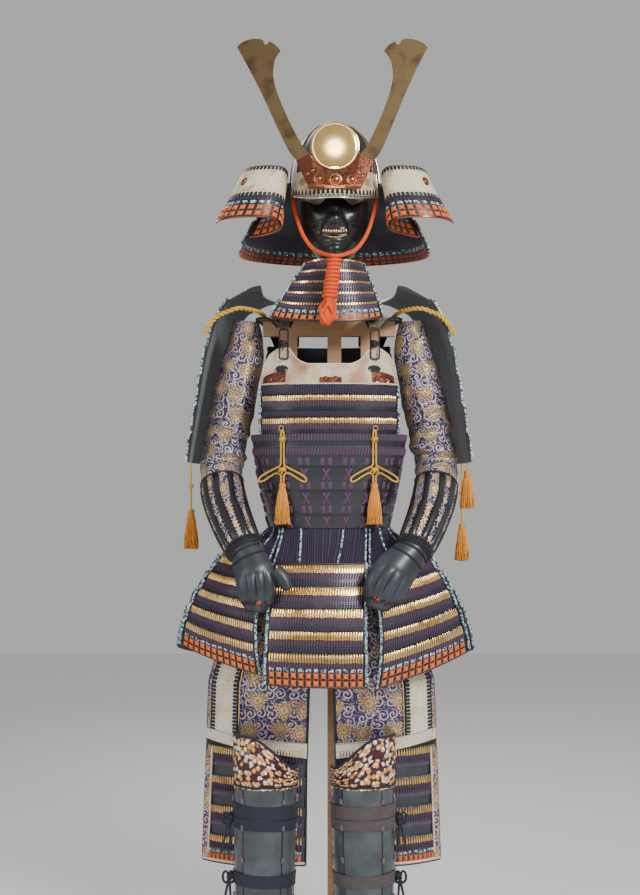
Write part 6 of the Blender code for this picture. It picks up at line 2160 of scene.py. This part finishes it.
for label, (side, gap, line) in HANDS.items():
    piece, skin = begin(f"hand guard {label}", hand_surface(side, gap, line), 64, 64)
    wall(piece, skin, 44, 0.0025, "slate", 64, lining="black_cord", lift=knuckles)
    edge = skin.hem(0.008, (0.25, 0.99), 30, 0.03, 0.99, 20, 0.0014)
    rope(piece, edge, 0.0026, "black_cord", 4, 0.010)
    across = np.linspace(0.02, 0.98, 60)
    for v in (0.03, 0.10, 0.17):
        rope(piece, skin.at(across, v, 0.0030), 0.0026, "black_cord", 4, 0.010)
    u, v = np.linspace(0.05, 0.90, 22), 0.80 + RNG.uniform(-0.03, 0.03, 22)
    lay(piece, skin, bead(), np.stack([u, u + 0.035, v, v + 0.05], axis=1), 0.0030, 0.0022, "black_cord")
    spot = 0.42 if side > 0 else 0.60
    stud(piece, *skin.out_of(spot, 0.82, 0.0030), 0.0045, 0.0035, "copper", ring=0.0068)
    piece.done(sharp=60)

piece, skin = begin("thumb guard", thumb_point, 24, 40)
ridge = lambda u, v: 0.0012 * np.sin(math.pi * u) * (1 - v)
wall(piece, skin, 24, 0.0020, "slate", 24, lining="black_cord", lift=ridge)
edge = skin.hem(0.01, (0.02, 0.97), 24, 0.05, 0.985, 10, 0.0010)
rope(piece, edge, 0.0019, "black_cord", 4, 0.010)
piece.done()

# %% [markdown]
# ## Thigh guards
# An apron of brocade hangs before each thigh. Printed leather strips with toothed sides run down its
# outer half, a dotted leather band crosses it above the knee, and laced lames finish it.

# %% Thigh guards
THIGH_TOP, THIGH_FOOT, LAMELLAE_TOP = 0.928, 0.232, 0.490
THIGH = table(
    "z inner outer front sweep",
    (0.928, 0.006, 0.106, -0.078, 0.050),
    (0.800, 0.012, 0.190, -0.092, 0.080),
    (0.630, 0.026, 0.240, -0.100, 0.090),
    (0.560, 0.028, 0.244, -0.078, 0.085),
    (0.500, 0.030, 0.247, -0.048, 0.070),
    (0.440, 0.032, 0.250, -0.038, 0.060),
    (0.232, 0.034, 0.258, -0.036, 0.060),
)


def thigh_surface(side):
    def point(u, v):
        w = u if side > 0 else 1 - u
        z = mix(THIGH_TOP, THIGH_FOOT, v)
        row = at_height(THIGH, z)
        x = mix(row["inner"], row["outer"], w)
        y = row["front"] + row["sweep"] * max(0, (w - 0.42) / 0.58) ** 2 + 0.020 * max(0, 0.22 - w)
        return np.array((LEGS_X + side * x, y, z))

    return point


def applied(piece, skin, corners, finish, rise, across=10, steps=30):
    """A strip sewn on a skin. corners are (u, v) at its top left, top right, foot left, foot right."""
    s, t = np.meshgrid(np.linspace(0, 1, across), np.linspace(0, 1, steps))
    s, t = s[..., None], t[..., None]
    top_left, top_right, foot_left, foot_right = (np.array(corner) for corner in corners)
    place = (top_left * (1 - s) + top_right * s) * (1 - t) + (foot_left * (1 - s) + foot_right * s) * t
    points = skin.at(place[..., 0], place[..., 1], rise)
    wide = np.linalg.norm(points[0, -1] - points[0, 0])
    long = np.linalg.norm(np.diff(points[:, across // 2], axis=0), axis=1).sum()
    s, t = s[..., 0], t[..., 0]
    if long > wide:
        cut, edge = np.stack([t * long, s * wide], axis=-1), np.stack([s * wide, (1 - s) * wide], axis=-1)
    else:
        cut, edge = np.stack([s * wide, t * long], axis=-1), np.stack([t * long, (1 - t) * long], axis=-1)
    piece.add(points.reshape(-1, 3), grid_faces(steps, across), finish, cut, edge)
    return points


def cord_line(piece, skin, path, base, radius, finish, steps=50, cyclic=False):
    """A thin cord sewn along corners given as (u, v)."""
    corners = np.array(path, float)
    run = np.linspace(0, len(corners) - 1, steps)
    u = np.interp(run, np.arange(len(corners)), corners[:, 0])
    v = np.interp(run, np.arange(len(corners)), corners[:, 1])
    rope(piece, skin.at(u, v, base), radius, finish, 4, 0.012, cyclic=cyclic)


LAMES["lamella"] = table(
    "what top foot per",
    ("fingers", 0.02, 0.29, 1),
    ("drops", 0.28, 0.54, 1),
    ("pips", 0.60, 0.70, 1),
)
LAMES["lamella_edge"] = table(
    "what top foot per",
    ("fingers", 0.02, 0.26, 1),
    ("drops", 0.26, 0.48, 1),
    ("knots", 0.52, 0.62, 0.5),
    ("blocks", 0.63, 0.92, 0.5),
)


def drop():
    """A silk lace that swells to a round end."""
    def height(s, t):
        swell = np.clip(1 - (2 * s - 1) ** 2, 0, 1) * (0.35 + 0.65 * np.clip(t * 1.5, 0, 1))
        return swell * np.clip(1 - np.clip((t - 0.75) / 0.25, 0, 1) ** 2, 0, 1)

    s, t, h, faces = patch(5, 7, height)
    return 0.5 + (s - 0.5) * (0.42 + 0.36 * t), t, h, faces


MOTIFS["drops"] = (drop(), "plum_knot", 0.0040)
THIGH_SAGS = table(
    "u v wide long out lean",
    (0.25, 0.30, 0.10, 0.16, 0.0030, 0.05),
    (0.45, 0.42, 0.08, 0.14, -0.0030, -0.08),
    (0.20, 0.50, 0.12, 0.05, 0.0028, 0.30),
    (0.60, 0.52, 0.14, 0.05, -0.0024, -0.25),
    (0.80, 0.36, 0.07, 0.18, 0.0030, 0.04),
    (0.35, 0.56, 0.16, 0.03, 0.0024, 0.15),
)


def sags(rows, side):
    """Soft hollows and swells of a hung cloth."""
    def lift(u, v):
        w = u if side > 0 else 1 - u
        total = np.zeros_like(w)
        for row in rows:
            away = (w - row["u"] - row["lean"] * (v - row["v"])) / row["wide"]
            total = total + row["out"] * np.exp(-away * away - ((v - row["v"]) / row["long"]) ** 2)
        return total * np.clip(np.minimum(v, 0.6 - v) * 20, 0, 1)

    return lift


START = (THIGH_TOP - LAMELLAE_TOP) / (THIGH_TOP - THIGH_FOOT)
for side, label in SIDES:

    def at_w(w, v, side=side):
        """A place by its share from the inner leg, as a (u, v) pair."""
        return (w if side > 0 else 1 - w, v)

    skin = Skin(thigh_surface(side), 60, 120)
    piece = Piece(f"thigh guard {label}")
    cloth_v = np.linspace(0, START, 60)
    wall(piece, skin, cloth_v, CLOTH, "thigh_brocade", 60, lining="dark_cloth", lift=sags(THIGH_SAGS, side))
    cloth = piece.done(sharp=80)
    top_half = skin.grid[: round(120 * START) + 1]
    wide = np.linalg.norm(np.diff(top_half, axis=1), axis=2).sum(axis=1)
    long = np.linalg.norm(np.diff(top_half[:, 30], axis=0), axis=1).sum()
    flat = (float(wide.max()), float(long))
    print(cloth.name, "flat cut", np.round(flat, 3))

    piece = Piece(f"thigh lames {label}")
    edges = np.linspace(START, 1.0, 5)
    lames = list(zip(edges, edges[1:], ["lamella"] * 3 + ["lamella_edge"]))
    base = laced(piece, skin, lames, 36, CLOTH, 0.0034, ground="slate", top=START, foot=1.0)
    rise = CLOTH + 0.0035

    def strip(w0, w1, v0, v1, finish, h, count, steps):
        """An upright strip between two shares from the inner leg."""
        left, right = sorted((at_w(w0, 0)[0], at_w(w1, 0)[0]))
        applied(piece, skin, ((left, v0), (right, v0), (left, v1), (right, v1)), finish, h, count, steps)

    strip(0.690, 0.955, 0.05, START - 0.040, "border_leather", rise, 12, 60)
    strip(0.955, 0.995, 0.05, START - 0.040, "thigh_brocade", rise, 12, 60)
    inner_v, outer_v = (START - 0.014, START + 0.036), (START - 0.050, START - 0.012)
    left_v, right_v = (inner_v, outer_v) if side > 0 else (outer_v, inner_v)
    top = ((0.005, left_v[0]), (0.995, right_v[0]))
    foot = ((0.005, left_v[1]), (0.995, right_v[1]))
    applied(piece, skin, (*top, *foot), "dotted_leather", rise + 0.0006, 40, 12)
    cord_line(piece, skin, top, rise + 0.0006, 0.0011, "grey_ink", 70)
    cord_line(piece, skin, foot, rise + 0.0006, 0.0014, "black_cord", 70)
    teeth = []
    for k in range(18):
        a, b = 0.52 + 0.46 * k / 18, 0.52 + 0.46 * (k + 0.7) / 18
        v = mix(inner_v[1], outer_v[1], (a + b) / 2)
        teeth.append((*sorted((at_w(a, 0)[0], at_w(b, 0)[0])), v + 0.001, v + 0.012))
    lay(piece, skin, bead(), teeth, rise, 0.0016, "black_cord")
    strip(0.93, 0.99, START + 0.01, 0.985, "thigh_brocade", CLOTH + 0.0048, 6, 50)
    for row in table(
        "from to height radius finish steps",
        ((0.672, 0.05), (0.672, START - 0.034), 0.003, 0.0013, "gold_leaf", 60),
        ((0.690, 0.05), (0.690, START - 0.036), 0.0035, 0.0011, "black_cord", 60),
        ((0.955, 0.05), (0.955, START - 0.036), 0.0035, 0.0011, "black_cord", 60),
        ((0.995, 0.01), (0.995, 0.995), 0.001, 0.0032, "plum_knot", 120),
        ((0.005, 0.01), (0.005, 0.995), 0.001, 0.0032, "navy_tape", 120),
        ((0.93, START + 0.01), (0.93, 0.97), 0.0048, 0.0022, "cream_piping", 80),
        ((0.01, 0.99), (0.99, 0.99), 0.002, 0.0030, "cream_piping", 80),
    ):
        ends = (at_w(*row["from"]), at_w(*row["to"]))
        cord_line(piece, skin, ends, CLOTH + row["height"], row["radius"], row["finish"], row["steps"])
    piece.done(slot="purple_lacing")


# %% [markdown]
# ## Waist belt
# A folded cloth band carries the thigh guards. Its creases are two crossed waves on a curved wall.

# %% Waist belt
def belt_point(u, v):
    turn = mix(-math.pi / 2, math.pi / 2, u)
    y = -0.0113 - 0.0667 * max(math.cos(turn), 0) ** 0.6
    x = 0.1066 * math.sin(turn) + LEGS_X * 0.5 * math.cos(turn)
    return np.array((x, y, mix(0.956, THIGH_TOP + SEAM, v)))


piece, skin = begin("waist belt", belt_point, 80, 12)
folds = lambda u, v: 0.0006 * np.sin(3 * math.pi * v + 5 * u) * np.sin(math.pi * v)
wall(piece, skin, 16, 0.003, "navy_tape", 80, lift=folds)
belt = piece.done()
print("belt flat cut", round(skin.width, 3), round(skin.length, 3))

# %% [markdown]
# ## Shin guards and knee flaps
# Three long plates wrap each shin, joined by small crossed laces and held by two tapes. The knee flap
# above is quilted: its brocade is stitched down in a honeycomb and stands out in puffs between.

# %% Shin surfaces
KNEE, SHIN_Y, SHIN_TURN = 0.415, -0.0552, math.radians(103)
SHIN = table(
    "z half_width deep x",
    (0.000, 0.050, 0.046, 0.1090),
    (0.100, 0.054, 0.049, 0.1080),
    (0.250, 0.062, 0.055, 0.1060),
    (0.415, 0.0635, 0.056, 0.1035),
    (0.530, 0.0645, 0.058, 0.1035),
)


def shin_point(side, turn, z):
    row = at_height(SHIN, z)
    x = SHINS_X + side * row["x"] + row["half_width"] * math.sin(turn)
    return np.array((x, SHIN_Y - row["deep"] * math.cos(turn), z))


def plates(side):
    return lambda u, v: shin_point(side, mix(-SHIN_TURN, SHIN_TURN, u), mix(KNEE - SEAM, 0.0, v))


def flap(side):
    def point(u, v):
        w = u if side > 0 else 1 - u
        top = mix(0.452, 0.522, ease((w - 0.12) / 0.55))
        return shin_point(side, mix(-SHIN_TURN, SHIN_TURN, u) * 0.86, mix(top, KNEE, v))

    return point


def shin_lift(u, v):
    """The middle plate overlaps its neighbours, and each plate is a little domed."""
    middle = np.clip((0.19 - np.abs(u - 0.48)) / 0.006, 0, 1) * 0.0020
    return middle + 0.0010 * np.cos((u - 0.48) * 2 * math.pi / 0.36) * np.clip(v * 10, 0, 1)


PUFF = 0.0120
HONEYCOMB = 0.87 * PUFF


def quilting(skin):
    def lift(u, v):
        x, y = skin.share(u), v * skin.length
        row = np.round(y / HONEYCOMB)
        shifted = x / PUFF - 0.5 * (row % 2)
        dx, dy = (shifted - np.round(shifted)) * PUFF, y - row * HONEYCOMB
        puff = np.clip(1 - (np.hypot(dx, dy) / (0.62 * PUFF)) ** 2, 0, 1) ** 0.7
        return 0.0046 * puff * np.clip(np.minimum(np.minimum(v, 1 - v) * 9, np.minimum(u, 1 - u) * 20), 0, 1)

    return lift


# %% Shin guards and knee flaps
TAPES = ((0.376, 0.350), (0.347, 0.326), (0.231, 0.206), (0.062, 0.040))
for side, label in SIDES:
    piece, skin = begin(f"shin guard {label}", plates(side), 80, 60)
    wall(piece, skin, 18, PLATE, "shin_lacquer", 120, lining="navy_lining", lift=shin_lift)
    for v in (0.006, 0.994):
        cord_line(piece, skin, ((0.01, v), (0.99, v)), PLATE + 0.0004, 0.0026, "quilt_brocade", 90)
    for u in (0.008, 0.992):
        cord_line(piece, skin, ((u, 0.01), (u, 0.99)), PLATE + 0.0004, 0.0026, "quilt_brocade", 90)
    knots = []
    for u in (0.288, 0.672, 0.86, 0.10):
        for z in (0.385, 0.330, 0.262, 0.180, 0.100):
            v = (KNEE - z) / KNEE
            knots.append((u - 0.026, u + 0.026, v - 0.024, v + 0.024))
    lay(piece, skin, cross_knot(0.5), knots, PLATE + 0.0020, 0.0036, "mauve_knot")
    for u in (0.288, 0.672):
        cord_line(piece, skin, ((u, 0.01), (u, 0.99)), PLATE + 0.0008, 0.0009, "lacquer", 60)
    tape = "taupe_tape" if side > 0 else "navy_tape"
    for top, foot in TAPES:
        v0, v1 = (KNEE - top) / KNEE, (KNEE - foot) / KNEE
        tilt = 0.006 * side
        corners = ((0.006, v0 + tilt), (0.994, v0 - tilt), (0.006, v1 + tilt), (0.994, v1 - tilt))
        applied(piece, skin, corners, tape, PLATE + 0.0036, 60, 5)
        for a, b in ((0, 1), (2, 3)):
            cord_line(piece, skin, (corners[a], corners[b]), PLATE + 0.0030, 0.0011, tape, 40)
    outer = 0.90 if side > 0 else 0.10
    for z in (0.345, 0.220):
        v = (KNEE - z) / KNEE
        middle = skin.at(outer, v, 0.011)
        ball_of_cord(piece, middle, 0.0085, "black_cord", 0.0030)
        t = np.linspace(0, 1, 24)
        for sway, fall in ((0.016, 0.075), (-0.004, 0.062)):
            tail = np.stack([side * (0.004 + sway * t), -0.002 - 0.003 * np.sin(3 * t), -fall * t], axis=1)
            rope(piece, middle + tail, 0.0030 * (1 - 0.2 * t), "navy_tape")
        a = np.linspace(0, 2 * math.pi, 40)
        for way in (-1, 1):
            x = side * 0.006 + 0.012 * way * np.sin(a / 2) ** 2
            bow = np.stack([x, -0.004 * np.sin(a), 0.013 * np.sin(a) - 0.002], axis=1)
            rope(piece, middle + bow, 0.0026, "navy_tape")
    piece.done()

    piece, skin = begin(f"knee flap {label}", flap(side), 80, 40)
    wall(piece, skin, 44, CLOTH, "quilt_brocade", 130, lining="dark_cloth", lift=quilting(skin))
    quilt = piece.done(sharp=80)
    piece = Piece(f"knee piping {label}")
    for v in (0.005, 0.995):
        cord_line(piece, skin, ((0.004, v), (0.996, v)), CLOTH + 0.0006, 0.0030, "navy_tape", 110)
    for u in (0.006, 0.994):
        cord_line(piece, skin, ((u, 0.01), (u, 0.99)), CLOTH + 0.0006, 0.0026, "navy_tape", 40)
    piece.done(slot="dark_cord")

# %% [markdown]
# ## Head form and stand
# A plain cloth-covered ball fills the helmet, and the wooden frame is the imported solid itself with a
# grained finish, since flat boards need no more shape.

# %% Head form and stand
piece = Piece("head form")
middle, half = (1.8332 + 1.588) / 2, (1.8332 - 1.588) / 2
heights = np.linspace(1.600, 1.8331, 40)
share = np.sqrt(np.clip(1 - ((heights - middle) / half) ** 2, 0, 1))
turn = np.linspace(0, 2 * math.pi, 49)
x = HEAD_X + 0.066 * share[:, None] * np.sin(turn)
y = -0.080 * share[:, None] * np.cos(turn)
points = np.stack([x, y, np.repeat(heights[:, None], 49, axis=1)], axis=-1)
cut = np.stack(np.broadcast_arrays(turn[None] * 0.07, heights[:, None]), axis=-1)
piece.add(points.reshape(-1, 3), grid_faces(40, 49)[:, ::-1], "head_cloth", cut)
piece.add(points[0, :-1], [list(range(48))], "head_cloth")
piece.done()
stand = frame["nodes"]["stand_frame"]
stand.data.materials.clear()
stand.data.materials.append(FINISHES["stand_wood"])
print("stand finished:", stand.name)

# %% [markdown]
# ## Light and floor
# The suit stands on a plain pale floor in soft studio light. The photograph's light comes from the
# upper right, so the key stands there.

# %% Stage
def area_light(name, place, aim, size, watts):
    lamp = bpy.data.lights.new(name, "AREA")
    lamp.shape = "DISK"
    lamp.size = size
    lamp.energy = watts
    made = bpy.data.objects.new(name, lamp)
    made.location = place
    made.rotation_euler = (Vector(aim) - Vector(place)).to_track_quat("-Z", "Y").to_euler()
    bpy.context.scene.collection.objects.link(made)


area_light("key", (1.7, -2.6, 2.7), (0, 0, 1.1), 1.1, 112)
area_light("fill", (-2.4, -2.2, 1.6), (0, 0, 1.0), 1.8, 24)
area_light("front", (0.05, -3.5, 2.45), (0, 0, 1.2), 0.5, 8)
area_light("rim", (-0.6, 1.8, 2.8), (0, 0, 1.2), 1.6, 30)
world = bpy.data.worlds.new("pale_world")
world.use_nodes = True
sky = world.node_tree.nodes["Background"].inputs
sky["Color"].default_value = (0.93, 0.92, 0.91, 1)
sky["Strength"].default_value = 0.52
bpy.context.scene.world = world
floor_mesh = bpy.data.meshes.new("floor")
floor_mesh.from_pydata([(-6, -6, 0), (6, -6, 0), (6, 6, 0), (-6, 6, 0)], [], [(0, 1, 2, 3)])
floor = bpy.data.objects.new("floor", floor_mesh)
bpy.context.scene.collection.objects.link(floor)
Finish("pale_floor", (0.80, 0.80, 0.80), 0.6)
floor_mesh.materials.append(FINISHES["pale_floor"])
floor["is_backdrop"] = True
sizes = {"after_load": CAD_BOX, "before_finish": box_now()}
print("pieces:", len(MADE), "triangles:", sum(MADE))
